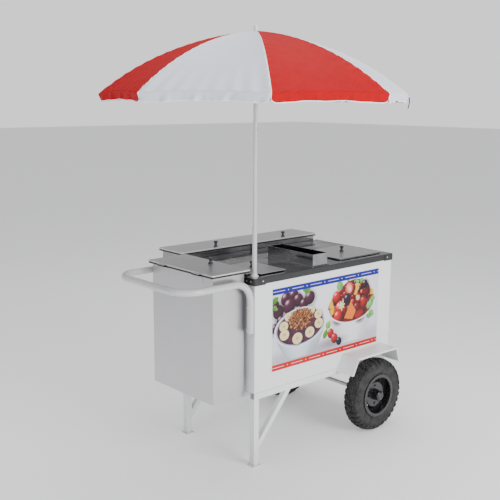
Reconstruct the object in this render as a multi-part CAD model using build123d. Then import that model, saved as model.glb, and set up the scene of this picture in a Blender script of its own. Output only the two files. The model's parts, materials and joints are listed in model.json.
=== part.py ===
"""Push vending cart with a cold-box counter, two pneumatic wheels and a folding parasol.

Millimetres, +Z up.  The model is drawn in a cart frame (X = 0 at the handle end, Y = 0 at the
near side, Z = 0 on the floor) and moved as a whole, so that the written parts have their origin
on the floor under the centre of the overall box.
"""
from build123d import *
from math import cos, sin, radians, degrees, acos, atan2
import os

# ---- driving dimensions ---------------------------------------------------------------------
LENGTH, WIDTH, DECK_Z = 960.0, 540.0, 900.0       # cabinet length, width, deck top height
FRAME_Z = 328.0                                   # underside of the base rails
TUBE, TUBE_WALL = 30.0, 1.5                       # base rails and legs, square tube
POST = 25.0                                       # corner posts inside the cabinet
SHEET = 1.5                                       # cabinet panels, deck and box sheet
RIM_H = 30.0                                      # turned-down rim of the deck
TRIM_T, TRIM_RADIUS = 6.0, 2.5                    # black edge trim
CAP_LEG, CAP_T, CAP_OVER = 60.0, 8.0, 3.0         # moulded corner caps
CAP_ROUND, CAP_TOP_ROUND = 3.0, 2.0               # corner radius beyond CAP_T, radius of the top edge
SCREW_R, SCREW_H = 4.0, 2.0                       # trim screw heads
SCREW_AT, SIDE_SCREW_AT = (0.3, 0.78), 0.7        # places along a cap's leg
BOLT_R, BOLT_H = 7.0, 4.0                         # handle bolt heads
HEAD_ROUND = 0.6                                  # share of a head's height that is rounded
MID_RAIL_X = 465.0                                # cross rail between the two ends
FOOT, FOOT_T = 48.0, 5.0                          # square foot plates
BRACE_FOOT_Z, BRACE_RUN = 78.0, 238.0             # leg brace: lower end height, run along X
BRACE = 25.0
FOOT_RADIUS = 3.0
BOARD_X, BOARD_Z, BOARD_T = (104.0, 866.0), (440.0, 834.0), 0.6    # printed board on the near side

WHEEL_X, WHEEL_R, WHEEL_W = 775.0, 190.0, 90.0    # wheel centre, tyre radius and width
WHEEL_GAP = 12.0                                  # tyre to cabinet side
AXLE_R, HUB_R, HUB_L = 10.0, 29.0, 70.0
BEARING_R, BEARING_W = 21.0, 12.0
RIM_SEAT_R, RIM_FLANGE_R, RIM_T = 98.0, 111.0, 3.0
BEAD_W = 80.0                                     # inside width between the rim flanges
HANGER_T, HANGER_W, HANGER_TAPER = 6.0, 64.0, 1.6
AXLE_END = 14.0                                   # axle beyond the hub
COLLAR_R, COLLAR_L, WASHER_R, WASHER_L = 15.0, 5.0, 16.0, 2.0
NUT_R, NUT_L = 15.0, 8.0
DISC_INNER_R, DISC_OUTER_R, DISC_IN, DISC_OUT, DISC_T = 62.0, 82.0, -14.0, 4.0, 4.0
WINDOWS, WINDOW_AT, WINDOW_R = 4, 74.0, 8.0       # holes through the rim's disc
WHEEL_BOLT_AT, WHEEL_BOLT_R, WHEEL_BOLT_L = 47.0, 6.0, 6.0
TYRE_WALL, BEAD_INSET, SHOULDER_DROP, SHOULDER_IN = 6.0, 7.0, 12.0, 11.0
RUN_CLEAR = 0.05                                  # radial running clearance
CLEAR = 0.3                                       # clearance between parts of different bodies
FENDER_X0, FENDER_X1, FENDER_Z = 598.0, 890.0, 428.0
FENDER_DROP, FENDER_SPLAY0, FENDER_SPLAY1 = 83.0, 46.0, 34.0
FENDER_LIP, FENDER_OUT, FENDER_T = 10.0, 112.0, 2.0

HANDLE_R, HANDLE_WALL = 16.0, 2.0
HANDLE_FOOT_Z, HANDLE_Z, HANDLE_REACH = 649.0, 884.0, 390.0
HANDLE_BEND, HANDLE_CORNER, HANDLE_INSET = 86.0, 100.0, 12.0
HANDLE_BOLT_Z = (667.0, 770.0)

BOX_W, BOX_FOAM, LINER_T = 180.0, 17.0, 1.2       # hanging cold boxes: depth from the cabinet
BOX_TOP = 924.0
LID_T, LID_OVER = 15.0, 15.0
SIDE_BOX_GAP, SIDE_BOX_Z, SIDE_BOX_END = 26.0, 340.0, 44.0
REAR_BOX_GAP, REAR_BOX_Z, REAR_BOX_SPLIT = 8.0, 640.0, 8.0
HINGE_R, HINGE_L, HINGE_IN = 5.0, 52.0, 70.0
LEAF_T, LEAF_H = 2.0, 30.0                        # hinge leaves
BOX_ROUND, LID_CORNER, LID_EDGE = 1.0, 5.0, 3.0   # radii
CLEAT_H, CLEAT_IN, REAR_CLEAT_IN = 30.0, 40.0, 30.0
CLEAT_DROP = 60.0                                 # top cleat below the deck's rim
LID_SWING = 110.0

KNOB_R, KNOB_WAIST, KNOB_H = 11.0, 6.5, 30.0
KNOB_FOOT, KNOB_NECK, KNOB_HEAD, KNOB_TOP, KNOB_TIP = 0.13, 0.5, 0.8, 0.93, 0.85   # shares of H and R
SIDE_KNOB_IN, SIDE_KNOB_AT, REAR_KNOB_IN = 32.0, 0.45, 22.0
FLAT_LID_T, GASKET_T, GASKET_W = 3.0, 2.5, 9.0
WELL_T, WELL_DEPTH, WELL_FLANGE = 1.2, 190.0, 14.0
WELL_LEFT = (64.0, 214.0, 86.0, 268.0)            # x0, x1, y0, y1 of the well mouths
WELL_RIGHT = (626.0, 906.0, 58.0, 290.0)
LID_MARGIN, LID_ROUND, SOCKET_ROOM = 18.0, 8.0, 3.0   # flat lid beyond its well mouth, radius, room
LEFT_LID_REACH = 30.0                             # more on the two sides nearest the parasol
LID_LIFT = 250.0
TROUGH = (385.0, 485.0, 14.0, 330.0)
TROUGH_UP, TROUGH_DEPTH, TROUGH_T, TROUGH_LIP = 60.0, 150.0, 2.0, 6.0

POLE_X, POLE_Y = 38.0, 46.0
UPPER_R, LOWER_R, POLE_WALL = 9.25, 11.0, 1.2
SOCKET_WALL, SOCKET_DEPTH, SOCKET_FLANGE = 2.5, 145.0, 19.0
SOCKET_UP, FLANGE_T = 14.0, 3.0                   # sleeve above the deck; flange and floor thickness
JOINT_Z, POLE_OVERLAP, TELESCOPE = 1127.0, 150.0, 115.0
POLE_LIFT = 200.0
CANOPY_R, APEX_Z, EDGE_Z = 680.0, 1978.0, 1712.0
MID_R, MID_Z = 404.0, 1877.0                      # a point on the canopy's curve
CLOTH_T, VALANCE = 2.0, 38.0
RIBS, FIRST_RIB = 8, 7.5                          # count, azimuth of the first rib in degrees
RIB_T, RIB_ROOM = 5.0, 2.4                        # rib section, room under the cloth
STRETCHER_T, STRETCHER_W, STRETCHER_SIDE = 3.0, 6.0, 4.4
PIVOT_R, PIVOT_Z, CROWN_R, CROWN_T = 16.0, 1965.5, 23.0, 10.0
RIB_JOINT_AT = 0.47                               # where along the rib the stretcher is riveted
PIN_R, RIVET_R, RIVET_END = 1.0, 1.5, 0.8
TIP_BACK = 6.0                                    # rib tip inside the canopy's edge
CROWN_NECK, SLOT_ROOM = 14.0, 0.4                 # crown's sleeve below the slots; room beside a strut
FOLD = 66.0                                       # rib travel from open to closed, degrees
RUNNER_WALL, RUNNER_H, RUNNER_FLANGE_T = 3.2, 45.0, 9.0
RUNNER_UP = 0.3                                   # share of the runner's sleeve above its flange
FINIAL_R, FINIAL_H, FINIAL_ROUND, FINIAL_PLUG = 10.0, 26.0, 0.6, 15.0

# ---- derived values -------------------------------------------------------------------------
PANEL_Z0 = FRAME_Z + TUBE
RIM_Z = DECK_Z - RIM_H
WHEEL_Y = WHEEL_GAP + WHEEL_W / 2
HINGE_OFF = HINGE_R + 1.0                         # hinge axis outside the lid's outer edge
REAR_LID_Y1 = WIDTH + REAR_BOX_GAP + BOX_W + LID_OVER
FIRST = radians(FIRST_RIB)
BOX_X0, BOX_X1 = POLE_X - CANOPY_R * cos(FIRST), LENGTH + CAP_T + SCREW_H
BOX_Y0, BOX_Y1 = POLE_Y - CANOPY_R * cos(FIRST), REAR_LID_Y1 + HINGE_OFF + HINGE_R
ORIGIN_X, ORIGIN_Y = (BOX_X0 + BOX_X1) / 2, (BOX_Y0 + BOX_Y1) / 2
FLAT_LID_Z = DECK_Z + WELL_T + GASKET_T + CLEAR    # underside of the flat lids
BOX_LID_Z = BOX_TOP + CLEAR                        # underside of the cold boxes' lids
RIB_AZIMUTHS = [FIRST_RIB + 360.0 / RIBS * k for k in range(RIBS)]

os.makedirs("parts", exist_ok=True)


# ---- helpers --------------------------------------------------------------------------------
def block(x0, x1, y0, y1, z0, z1):
    """A box between two corners."""
    return Pos((x0 + x1) / 2, (y0 + y1) / 2, (z0 + z1) / 2) * Box(x1 - x0, y1 - y0, z1 - z0)


def rod(x, y, z0, z1, radius, bore=0.0):
    """An upright round bar or tube."""
    bar = Pos(x, y, (z0 + z1) / 2) * Cylinder(radius, z1 - z0)
    return bar - Pos(x, y, (z0 + z1) / 2) * Cylinder(bore, z1 - z0 + 2) if bore else bar


def cross_bar(x, y0, y1, z, radius, bore=0.0):
    """A round bar or tube along Y."""
    place = Pos(x, (y0 + y1) / 2, z) * Rot(90, 0, 0)
    bar = place * Cylinder(radius, y1 - y0)
    return bar - place * Cylinder(bore, y1 - y0 + 2) if bore else bar


def square_tube(x0, x1, y0, y1, z0, z1, along):
    """A square tube of TUBE_WALL; along names its open direction, 'x', 'y' or 'z'."""
    w = TUBE_WALL
    inner = {"x": (x0 - 1, x1 + 1, y0 + w, y1 - w, z0 + w, z1 - w),
             "y": (x0 + w, x1 - w, y0 - 1, y1 + 1, z0 + w, z1 - w),
             "z": (x0 + w, x1 - w, y0 + w, y1 - w, z0 - 1, z1 + 1)}[along]
    return block(x0, x1, y0, y1, z0, z1) - block(*inner)


def tub(x0, x1, y0, y1, z0, z1, wall, floor=None):
    """An open-topped box."""
    floor = wall if floor is None else floor
    inside = block(x0 + wall, x1 - wall, y0 + wall, y1 - wall, z0 + floor, z1 + 1)
    return block(x0, x1, y0, y1, z0, z1) - inside


def mirrored(shape):
    """The same piece on the far side of the cabinet."""
    return shape.mirror(Plane.XZ.offset(-WIDTH / 2))


def save(name, *shapes):
    """Write one node, moved into the part's own frame."""
    solids = [s.moved(Location((-ORIGIN_X, -ORIGIN_Y, 0))) for shape in shapes for s in shape.solids()]
    node = solids[0] if len(solids) == 1 else Compound(solids)
    export_step(node, f"parts/{name}.step")
    return solids


# ---- chassis --------------------------------------------------------------------------------
def chassis_frame():
    z0, z1 = FRAME_Z, PANEL_Z0
    rails = [square_tube(0, LENGTH, y, y + TUBE, z0, z1, "x") for y in (0, WIDTH - TUBE)]
    cross_x = (0, MID_RAIL_X, LENGTH - TUBE)
    rails += [square_tube(x, x + TUBE, TUBE, WIDTH - TUBE, z0, z1, "y") for x in cross_x]
    posts = [square_tube(x, x + POST, y, y + POST, z1, DECK_Z - SHEET, "z")
             for x in (SHEET, LENGTH - SHEET - POST) for y in (SHEET, WIDTH - SHEET - POST)]
    return rails + posts + [axle_hanger(), mirrored(axle_hanger())]


def axle_hanger():
    """A plate welded under the base rail, holding the axle."""
    half, y0 = HANGER_W / 2, (TUBE - HANGER_T) / 2
    low = half / HANGER_TAPER
    with BuildSketch(Plane.XZ) as outline:
        with BuildLine():
            Polyline((WHEEL_X - half, FRAME_Z), (WHEEL_X + half, FRAME_Z), (WHEEL_X + low, WHEEL_R),
                     (WHEEL_X - low, WHEEL_R), close=True)
        make_face()
        with Locations((WHEEL_X, WHEEL_R)):
            Circle(low)
    plate = extrude(outline.sketch, -HANGER_T)
    plate = Pos(0, y0 - plate.bounding_box().min.Y, 0) * plate
    return plate - cross_bar(WHEEL_X, y0 - 1, y0 + HANGER_T + 1, WHEEL_R, AXLE_R + RUN_CLEAR)


def support_legs():
    leg = square_tube(0, TUBE, 0, TUBE, FOOT_T, FRAME_Z, "z")
    reach, rise = BRACE_RUN - TUBE, FRAME_Z - BRACE_FOOT_Z
    slope = rise / reach
    drop = BRACE * (1 + slope ** 2) ** 0.5            # brace height measured on the leg
    with BuildSketch(Plane.XZ) as side:
        with BuildLine():
            Polyline((TUBE, BRACE_FOOT_Z), (TUBE, BRACE_FOOT_Z + drop), (BRACE_RUN - drop / slope, FRAME_Z),
                     (BRACE_RUN, FRAME_Z), close=True)
        make_face()
    brace = extrude(side.sketch, -BRACE)
    brace = Pos(0, (TUBE - BRACE) / 2 - brace.bounding_box().min.Y, 0) * brace
    return [leg, mirrored(leg), brace, mirrored(brace)]


def foot_plates():
    plate = block((TUBE - FOOT) / 2, (TUBE + FOOT) / 2, (TUBE - FOOT) / 2, (TUBE + FOOT) / 2, 0, FOOT_T)
    plate = fillet(plate.edges().filter_by(Axis.Z), FOOT_RADIUS)
    return [plate, mirrored(plate)]


def side_panels():
    panel = block(0, LENGTH, 0, SHEET, PANEL_Z0, RIM_Z)
    return [panel, mirrored(panel)]


def end_panels():
    return [block(x, x + SHEET, SHEET, WIDTH - SHEET, PANEL_Z0, RIM_Z) for x in (0, LENGTH - SHEET)]


def floor_panel():
    floor = block(SHEET, LENGTH - SHEET, SHEET, WIDTH - SHEET, PANEL_Z0, PANEL_Z0 + SHEET)
    for x in (SHEET, LENGTH - SHEET - POST):
        for y in (SHEET, WIDTH - SHEET - POST):
            floor -= block(x, x + POST, y, y + POST, PANEL_Z0 - 1, PANEL_Z0 + SHEET + 1)
    return floor


def grown(area, margin):
    """A rectangle x0, x1, y0, y1 made larger on all sides."""
    x0, x1, y0, y1 = area
    return x0 - margin, x1 + margin, y0 - margin, y1 + margin


def deck():
    sheet = block(0, LENGTH, 0, WIDTH, RIM_Z, DECK_Z)
    sheet -= block(SHEET, LENGTH - SHEET, SHEET, WIDTH - SHEET, RIM_Z - 1, DECK_Z - SHEET)
    for area in (WELL_LEFT, WELL_RIGHT):
        sheet -= block(*grown(area, WELL_T + CLEAR), DECK_Z - 5, DECK_Z + 5)
    sheet -= block(*grown(TROUGH, CLEAR), DECK_Z - 5, DECK_Z + 5)
    return sheet - rod(POLE_X, POLE_Y, DECK_Z - 5, DECK_Z + 5, socket_bore() + SOCKET_WALL + RUN_CLEAR)


def edge_trim():
    """Four strips of black edge trim between the corner caps."""
    z0, z1 = RIM_Z, DECK_Z
    strips = [block(CAP_LEG, LENGTH - CAP_LEG, y, y + TRIM_T, z0, z1) for y in (-TRIM_T, WIDTH)]
    strips += [block(x, x + TRIM_T, CAP_LEG, WIDTH - CAP_LEG, z0, z1) for x in (-TRIM_T, LENGTH)]
    outer = [Axis.Y, Axis.Y, Axis.X, Axis.X]
    rounded = []
    for strip, axis, last in zip(strips, outer, (0, -1, 0, -1)):
        face = strip.faces().sort_by(axis)[last]
        long_edges = face.edges().filter_by(Axis.X if axis == Axis.Y else Axis.Y)
        rounded.append(fillet(long_edges, TRIM_RADIUS))
    return rounded


def corner_cap():
    """The near handle-end cap: an L that wraps the deck's corner."""
    z0, z1 = RIM_Z - CAP_OVER, DECK_Z
    cap = block(-CAP_T, CAP_LEG, -CAP_T, CAP_LEG, z0, z1)
    cap = fillet(cap.edges().filter_by(Axis.Z).sort_by(Axis.X)[:2].sort_by(Axis.Y)[0], CAP_T + CAP_ROUND)
    cap = fillet(cap.faces().sort_by(Axis.Z)[-1].edges().sort_by(Axis.X)[0], CAP_TOP_ROUND)
    return cap - block(0, CAP_LEG + 1, 0, CAP_LEG + 1, z0 - 1, z1 + 1)


def corner_caps():
    near = corner_cap()
    far = mirrored(near)
    across = Plane.YZ.offset(LENGTH / 2)
    return [near, far, near.mirror(across), far.mirror(across)]


def screw_head(radius, height):
    """A domed head standing on the XY plane."""
    head = Pos(0, 0, height / 2) * Cylinder(radius, height)
    return fillet(head.faces().sort_by(Axis.Z)[-1].edges(), height * HEAD_ROUND)


def fasteners():
    """Trim screws on the corner caps and the bolts that hold the handle."""
    z = (RIM_Z + DECK_Z) / 2
    items = []
    near = [CAP_LEG * share for share in SCREW_AT]
    for y in near + [WIDTH - offset for offset in near]:
        items.append(Pos(-CAP_T, y, z) * Rot(0, -90, 0) * screw_head(SCREW_R, SCREW_H))
        items.append(Pos(LENGTH + CAP_T, y, z) * Rot(0, 90, 0) * screw_head(SCREW_R, SCREW_H))
    for x in (CAP_LEG * SIDE_SCREW_AT, LENGTH - CAP_LEG * SIDE_SCREW_AT):
        items.append(Pos(x, -CAP_T, z) * Rot(90, 0, 0) * screw_head(SCREW_R, SCREW_H))
    for y in (HANDLE_INSET, WIDTH - HANDLE_INSET):
        for bolt_z in HANDLE_BOLT_Z:
            place = Pos(-2 * HANDLE_R, y, bolt_z) * Rot(0, -90, 0)
            items.append(place * screw_head(BOLT_R, BOLT_H))
    return items


def lid_gaskets():
    z0 = DECK_Z + WELL_T
    rings = []
    for area in (WELL_LEFT, WELL_RIGHT):
        ring = block(*grown(area, GASKET_W), z0, z0 + GASKET_T)
        rings.append(ring - block(*area, z0 - 1, z0 + GASKET_T + 1))
    return rings


def deck_wells():
    """Two stainless tubs that hang on the deck by their flanges."""
    tubs = []
    for area in (WELL_LEFT, WELL_RIGHT):
        body = block(*grown(area, WELL_T), DECK_Z - WELL_DEPTH, DECK_Z)
        body += block(*grown(area, WELL_FLANGE), DECK_Z, DECK_Z + WELL_T)
        body -= block(*area, DECK_Z - WELL_DEPTH + WELL_T, DECK_Z + 5)
        tubs.append(body)
    return tubs


def centre_trough():
    trough = tub(*TROUGH, DECK_Z - TROUGH_DEPTH, DECK_Z + TROUGH_UP, TROUGH_T)
    rim = block(*grown(TROUGH, TROUGH_LIP), DECK_Z, DECK_Z + TROUGH_T)      # lip that rests on the deck
    return trough + (rim - block(*grown(TROUGH, -1), DECK_Z - 1, DECK_Z + 5))


# ---- hanging cold boxes ---------------------------------------------------------------------
SIDE_BOX = (-SIDE_BOX_GAP - BOX_W, -SIDE_BOX_GAP, SIDE_BOX_END, WIDTH - SIDE_BOX_END, SIDE_BOX_Z)
REAR_Y0, REAR_Y1 = WIDTH + REAR_BOX_GAP, WIDTH + REAR_BOX_GAP + BOX_W
REAR_END = LID_OVER + 4                             # rear boxes in from the cabinet's ends
REAR_MIDDLE = LID_OVER + REAR_BOX_SPLIT / 2         # and either side of its middle
REAR_LEFT = (REAR_END, LENGTH / 2 - REAR_MIDDLE, REAR_Y0, REAR_Y1, REAR_BOX_Z)
REAR_RIGHT = (LENGTH / 2 + REAR_MIDDLE, LENGTH - REAR_END, REAR_Y0, REAR_Y1, REAR_BOX_Z)


def box_shell(box, outer):
    """Outer sheet of a cold box; outer is '-x' or '+y', the side with the hinges."""
    x0, x1, y0, y1, z0 = box
    shell = tub(x0, x1, y0, y1, z0, BOX_TOP - LINER_T, SHEET)
    shell = fillet(shell.edges().filter_by(Axis.Z).sort_by(Axis.X)[0], BOX_ROUND)
    z1 = BOX_TOP - HINGE_R
    for lo, hi in hinge_spans(box, outer):
        leaf = (block(x0 - LEAF_T, x0, lo, hi, z1 - LEAF_H, z1) if outer == "-x"
                else block(lo, hi, y1, y1 + LEAF_T, z1 - LEAF_H, z1))
        shell += leaf
    return shell


def hinge_spans(box, outer):
    """Where the two hinges lie along the lid's outer edge."""
    lo, hi = (box[2], box[3]) if outer == "-x" else (box[0], box[1])
    return [(lo + HINGE_IN, lo + HINGE_IN + HINGE_L), (hi - HINGE_IN - HINGE_L, hi - HINGE_IN)]


def box_foam(box):
    x0, x1, y0, y1, z0 = box
    s = SHEET
    return tub(x0 + s, x1 - s, y0 + s, y1 - s, z0 + s, BOX_TOP - LINER_T, BOX_FOAM)


def box_liner(box):
    x0, x1, y0, y1, z0 = box
    inset = SHEET + BOX_FOAM
    liner = block(x0 + inset, x1 - inset, y0 + inset, y1 - inset, z0 + inset, BOX_TOP)
    liner += block(x0, x1, y0, y1, BOX_TOP - LINER_T, BOX_TOP)
    t = inset + LINER_T
    return liner - block(x0 + t, x1 - t, y0 + t, y1 - t, z0 + t, BOX_TOP + 1)


def box_lid(box, outer):
    """Insulated lid with rolled edges and its hinge knuckles."""
    x0, x1, y0, y1, _ = box
    z0 = BOX_LID_Z
    x0, x1, y0, y1 = x0 - LID_OVER, x1 + LID_OVER, y0 - LID_OVER, y1 + LID_OVER
    if outer == "-x":
        x1 = x1 + SIDE_BOX_GAP - LID_OVER - 1
    else:
        y0 = WIDTH + CAP_T / 2 + CLEAR
    lid = block(x0, x1, y0, y1, z0, z0 + LID_T)
    lid = fillet(lid.edges().filter_by(Axis.Z), LID_CORNER)
    lid = fillet(lid.faces().sort_by(Axis.Z)[-1].edges(), LID_EDGE)
    axis_z = z0 + HINGE_R
    for lo, hi in hinge_spans(box, outer):
        if outer == "-x":
            lid += cross_bar(x0 - HINGE_OFF, lo, hi, axis_z, HINGE_R)
            lid += block(x0 - HINGE_OFF, x0 + LEAF_T, lo, hi, axis_z, axis_z + LEAF_T)
        else:
            bar = Pos((lo + hi) / 2, y1 + HINGE_OFF, axis_z) * Rot(0, 90, 0) * Cylinder(HINGE_R, hi - lo)
            lid += bar + block(lo, hi, y1 - LEAF_T, y1 + HINGE_OFF, axis_z, axis_z + LEAF_T)
    return lid


def box_cleats():
    """Channels that carry the cold boxes on the cabinet's end and far side."""
    _, x1, y0, y1, z0 = SIDE_BOX
    top = RIM_Z - CLEAT_DROP
    cleats = [block(x1, 0, y0 + CLEAT_IN, y1 - CLEAT_IN, z, z + CLEAT_H) for z in (z0 + CLEAT_IN, top)]
    for box in (REAR_LEFT, REAR_RIGHT):
        cleats += [block(box[0] + REAR_CLEAT_IN, box[1] - REAR_CLEAT_IN, WIDTH, REAR_Y0, z, z + CLEAT_H)
                   for z in (REAR_BOX_Z + REAR_CLEAT_IN, top)]
    return cleats


def knob(x, y, z):
    """A spool-shaped plastic knob standing on a lid."""
    h = KNOB_H
    with BuildSketch(Plane.XZ) as half:
        with BuildLine():
            Polyline((0, h), (0, 0), (KNOB_R, 0), (KNOB_R, h * KNOB_FOOT))
            ThreePointArc((KNOB_R, h * KNOB_FOOT), (KNOB_WAIST, h * KNOB_NECK), (KNOB_R, h * KNOB_HEAD))
            Polyline((KNOB_R, h * KNOB_HEAD), (KNOB_R, h * KNOB_TOP), (KNOB_R * KNOB_TIP, h), (0, h))
        make_face()
    return Pos(x, y, z) * revolve(half.sketch, Axis.Z)


def flat_lid(area, reach=0.0):
    """A lift-off lid over a deck well, cut back round the parasol's socket."""
    z0 = FLAT_LID_Z
    x0, x1, y0, y1 = grown(area, LID_MARGIN)
    x0, y0 = x0 - reach, y0 - reach
    lid = block(x0, x1, y0, y1, z0, z0 + FLAT_LID_T)
    lid = fillet(lid.edges().filter_by(Axis.Z), LID_ROUND)
    return lid - rod(POLE_X, POLE_Y, z0 - 1, z0 + FLAT_LID_T + 1, SOCKET_FLANGE + LOWER_R + SOCKET_ROOM)


# ---- handle, wheels and fenders -------------------------------------------------------------
def push_handle():
    """One bent tube: up both corner posts, out to the push bar and across."""
    x, y0, y1 = -HANDLE_R, HANDLE_INSET, WIDTH - HANDLE_INSET
    far = -HANDLE_REACH
    route = FilletPolyline((x, y0, HANDLE_FOOT_Z), (x, y0, HANDLE_Z), (far, y0, HANDLE_Z),
                           (far, y1, HANDLE_Z), (x, y1, HANDLE_Z), (x, y1, HANDLE_FOOT_Z),
                           radius=[HANDLE_BEND, HANDLE_CORNER, HANDLE_CORNER, HANDLE_BEND])
    start = Plane(origin=route @ 0, z_dir=route % 0)
    section = start * (Circle(HANDLE_R) - Circle(HANDLE_R - HANDLE_WALL))
    return sweep(section, path=route)


def axle():
    """The through axle with its inner collars, outer washers and hex nuts."""
    end = WHEEL_Y + HUB_L / 2 + AXLE_END
    bar = cross_bar(WHEEL_X, -end, WIDTH + end, WHEEL_R, AXLE_R)
    inner = WHEEL_Y - HUB_L / 2 - 1
    outer = WHEEL_Y + HUB_L / 2 + 1
    for y0, y1, radius in ((-inner, -inner + COLLAR_L, COLLAR_R), (-outer - WASHER_L, -outer, WASHER_R)):
        bar += cross_bar(WHEEL_X, y0, y1, WHEEL_R, radius)
        bar += cross_bar(WHEEL_X, WIDTH - y1, WIDTH - y0, WHEEL_R, radius)
    nut = extrude(Plane.XZ * RegularPolygon(NUT_R, 6), NUT_L)
    nut = Pos(WHEEL_X, -nut.bounding_box().max.Y, WHEEL_R) * nut
    near = Pos(0, -outer - WASHER_L, 0) * nut
    return bar + near + mirrored(near)


def wheel_bearings():
    """Four bearings on the axle, one in each end of each hub."""
    near = []
    for y in (-WHEEL_Y - HUB_L / 2, -WHEEL_Y + HUB_L / 2 - BEARING_W):
        near.append(cross_bar(WHEEL_X, y, y + BEARING_W, WHEEL_R, BEARING_R, AXLE_R + RUN_CLEAR))
    return near + [mirrored(bearing) for bearing in near]


def wheel_turned(points):
    """A solid of revolution about the near wheel's axle; points are (radius, offset along -Y)."""
    with BuildSketch(Plane.XY) as half:
        with BuildLine():
            Polyline(*points, close=True)
        make_face()
    return Pos(WHEEL_X, -WHEEL_Y, WHEEL_R) * revolve(half.sketch, Axis.Y)


def rim_barrel():
    """The rolled ring of the rim that the tyre sits on."""
    seat, half, t = RIM_SEAT_R, BEAD_W / 2 + 0.5, RIM_T
    barrel = wheel_turned([(seat - t, -half), (seat, -half), (seat, half), (seat - t, half)])
    for side in (-1, 1):
        barrel += wheel_turned([(seat - t, side * half), (RIM_FLANGE_R, side * half),
                                (RIM_FLANGE_R, side * (half + t)), (seat - t, side * (half + t))])
    return barrel


def rim_disc():
    """The dished disc and hub, with four windows and its bolts, welded inside the barrel."""
    bore, edge = BEARING_R + RUN_CLEAR, RIM_SEAT_R - RIM_T
    disc = wheel_turned([(HUB_R - 1, DISC_IN), (DISC_INNER_R, DISC_IN), (DISC_OUTER_R, DISC_OUT),
                         (edge, DISC_OUT), (edge, DISC_OUT - DISC_T), (DISC_OUTER_R + 2, DISC_OUT - DISC_T),
                         (DISC_INNER_R + 2, DISC_IN - DISC_T), (HUB_R - 1, DISC_IN - DISC_T)])
    body = disc + cross_bar(WHEEL_X, -WHEEL_Y - HUB_L / 2, -WHEEL_Y + HUB_L / 2, WHEEL_R, HUB_R, bore)
    bolt = extrude(Plane.XZ * RegularPolygon(WHEEL_BOLT_R, 6), WHEEL_BOLT_L)
    bolt = Pos(WHEEL_BOLT_AT, DISC_IN - DISC_T - WHEEL_Y + 1 - bolt.bounding_box().max.Y, 0) * bolt
    for k in range(WINDOWS):
        step = 360 / WINDOWS
        window = Pos(WINDOW_AT, -WHEEL_Y, 0) * Rot(90, 0, 0) * Cylinder(WINDOW_R, WHEEL_W)
        body -= Pos(WHEEL_X, 0, WHEEL_R) * Rot(0, step * (k + 0.5), 0) * window
        body += Pos(WHEEL_X, 0, WHEEL_R) * Rot(0, step * k, 0) * bolt
    return body


def tyre():
    """Pneumatic tyre casing, open towards the rim."""
    r0, r1, half, wall = RIM_SEAT_R + CLEAR, WHEEL_R, WHEEL_W / 2, TYRE_WALL
    bead, shoulder, inner = BEAD_W / 2 - BEAD_INSET, WHEEL_R - SHOULDER_DROP, half - SHOULDER_IN
    mid, belly = (RIM_SEAT_R + WHEEL_R) / 2 + 4, inner - wall + 1
    with BuildSketch(Plane.XY) as section:
        with BuildLine():
            ThreePointArc((r0, -bead), (mid, -half + 1), (shoulder, -inner))
            ThreePointArc((shoulder, -inner), (r1, 0), (shoulder, inner))
            ThreePointArc((shoulder, inner), (mid, half - 1), (r0, bead))
            Line((r0, bead), (r0, bead - wall))
            ThreePointArc((r0, bead - wall), (mid, half - wall), (shoulder - wall, belly))
            ThreePointArc((shoulder - wall, belly), (r1 - wall - 2, 0), (shoulder - wall, -belly))
            ThreePointArc((shoulder - wall, -belly), (mid, -half + wall), (r0, -bead + wall))
            Line((r0, -bead + wall), (r0, -bead))
        make_face()
    return Pos(WHEEL_X, -WHEEL_Y, WHEEL_R) * revolve(section.sketch, Axis.Y)


def fender():
    """Folded mudguard: flat top, two splayed ends and a turned-down outer lip."""
    top, low, t = FENDER_Z, FENDER_Z - FENDER_DROP, FENDER_T
    outline = [(FENDER_X0 - FENDER_SPLAY0, low), (FENDER_X0, top), (FENDER_X1, top),
               (FENDER_X1 + FENDER_SPLAY1, low)]

    def band(depth, y0, y1):
        inner = [(x, z - depth) for x, z in outline[1:3]]
        ends = [(outline[3][0] - depth, low), (outline[0][0] + depth, low)]
        with BuildSketch(Plane.XZ) as side:
            with BuildLine():
                Polyline(*outline, ends[0], inner[1], inner[0], ends[1], close=True)
            make_face()
        strip = extrude(side.sketch, y1 - y0)
        return Pos(0, y1 - strip.bounding_box().max.Y, 0) * strip

    return band(t, -FENDER_OUT, 0) + band(FENDER_LIP, -FENDER_OUT, -FENDER_OUT + t)


# ---- parasol --------------------------------------------------------------------------------
def socket_bore():
    return LOWER_R + RUN_CLEAR


def umbrella_socket():
    """A flanged sleeve in the deck that the lower pole stands in."""
    outer, z0 = socket_bore() + SOCKET_WALL, DECK_Z - SOCKET_DEPTH
    sleeve = rod(POLE_X, POLE_Y, z0, DECK_Z + SOCKET_UP, outer)
    flange = rod(POLE_X, POLE_Y, DECK_Z, DECK_Z + FLANGE_T, SOCKET_FLANGE)
    return sleeve + flange - rod(POLE_X, POLE_Y, z0 + FLANGE_T, DECK_Z + SOCKET_UP + 1, socket_bore())


def lower_pole():
    z0 = DECK_Z - SOCKET_DEPTH + FLANGE_T + CLEAR
    return rod(POLE_X, POLE_Y, z0, JOINT_Z, LOWER_R, UPPER_R + RUN_CLEAR)


def upper_pole():
    z0 = JOINT_Z - POLE_OVERLAP
    return rod(POLE_X, POLE_Y, z0, APEX_Z, UPPER_R, UPPER_R - POLE_WALL)


def spoke_plane(azimuth, side=0.0):
    """Plane through the pole's axis: X outwards along the rib, Y up, moved sideways by side."""
    a = radians(azimuth)
    normal = (sin(a), -cos(a), 0)
    origin = (POLE_X + side * normal[0], POLE_Y + side * normal[1], 0)
    return Plane(origin=origin, x_dir=(cos(a), sin(a), 0), z_dir=normal)


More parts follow.
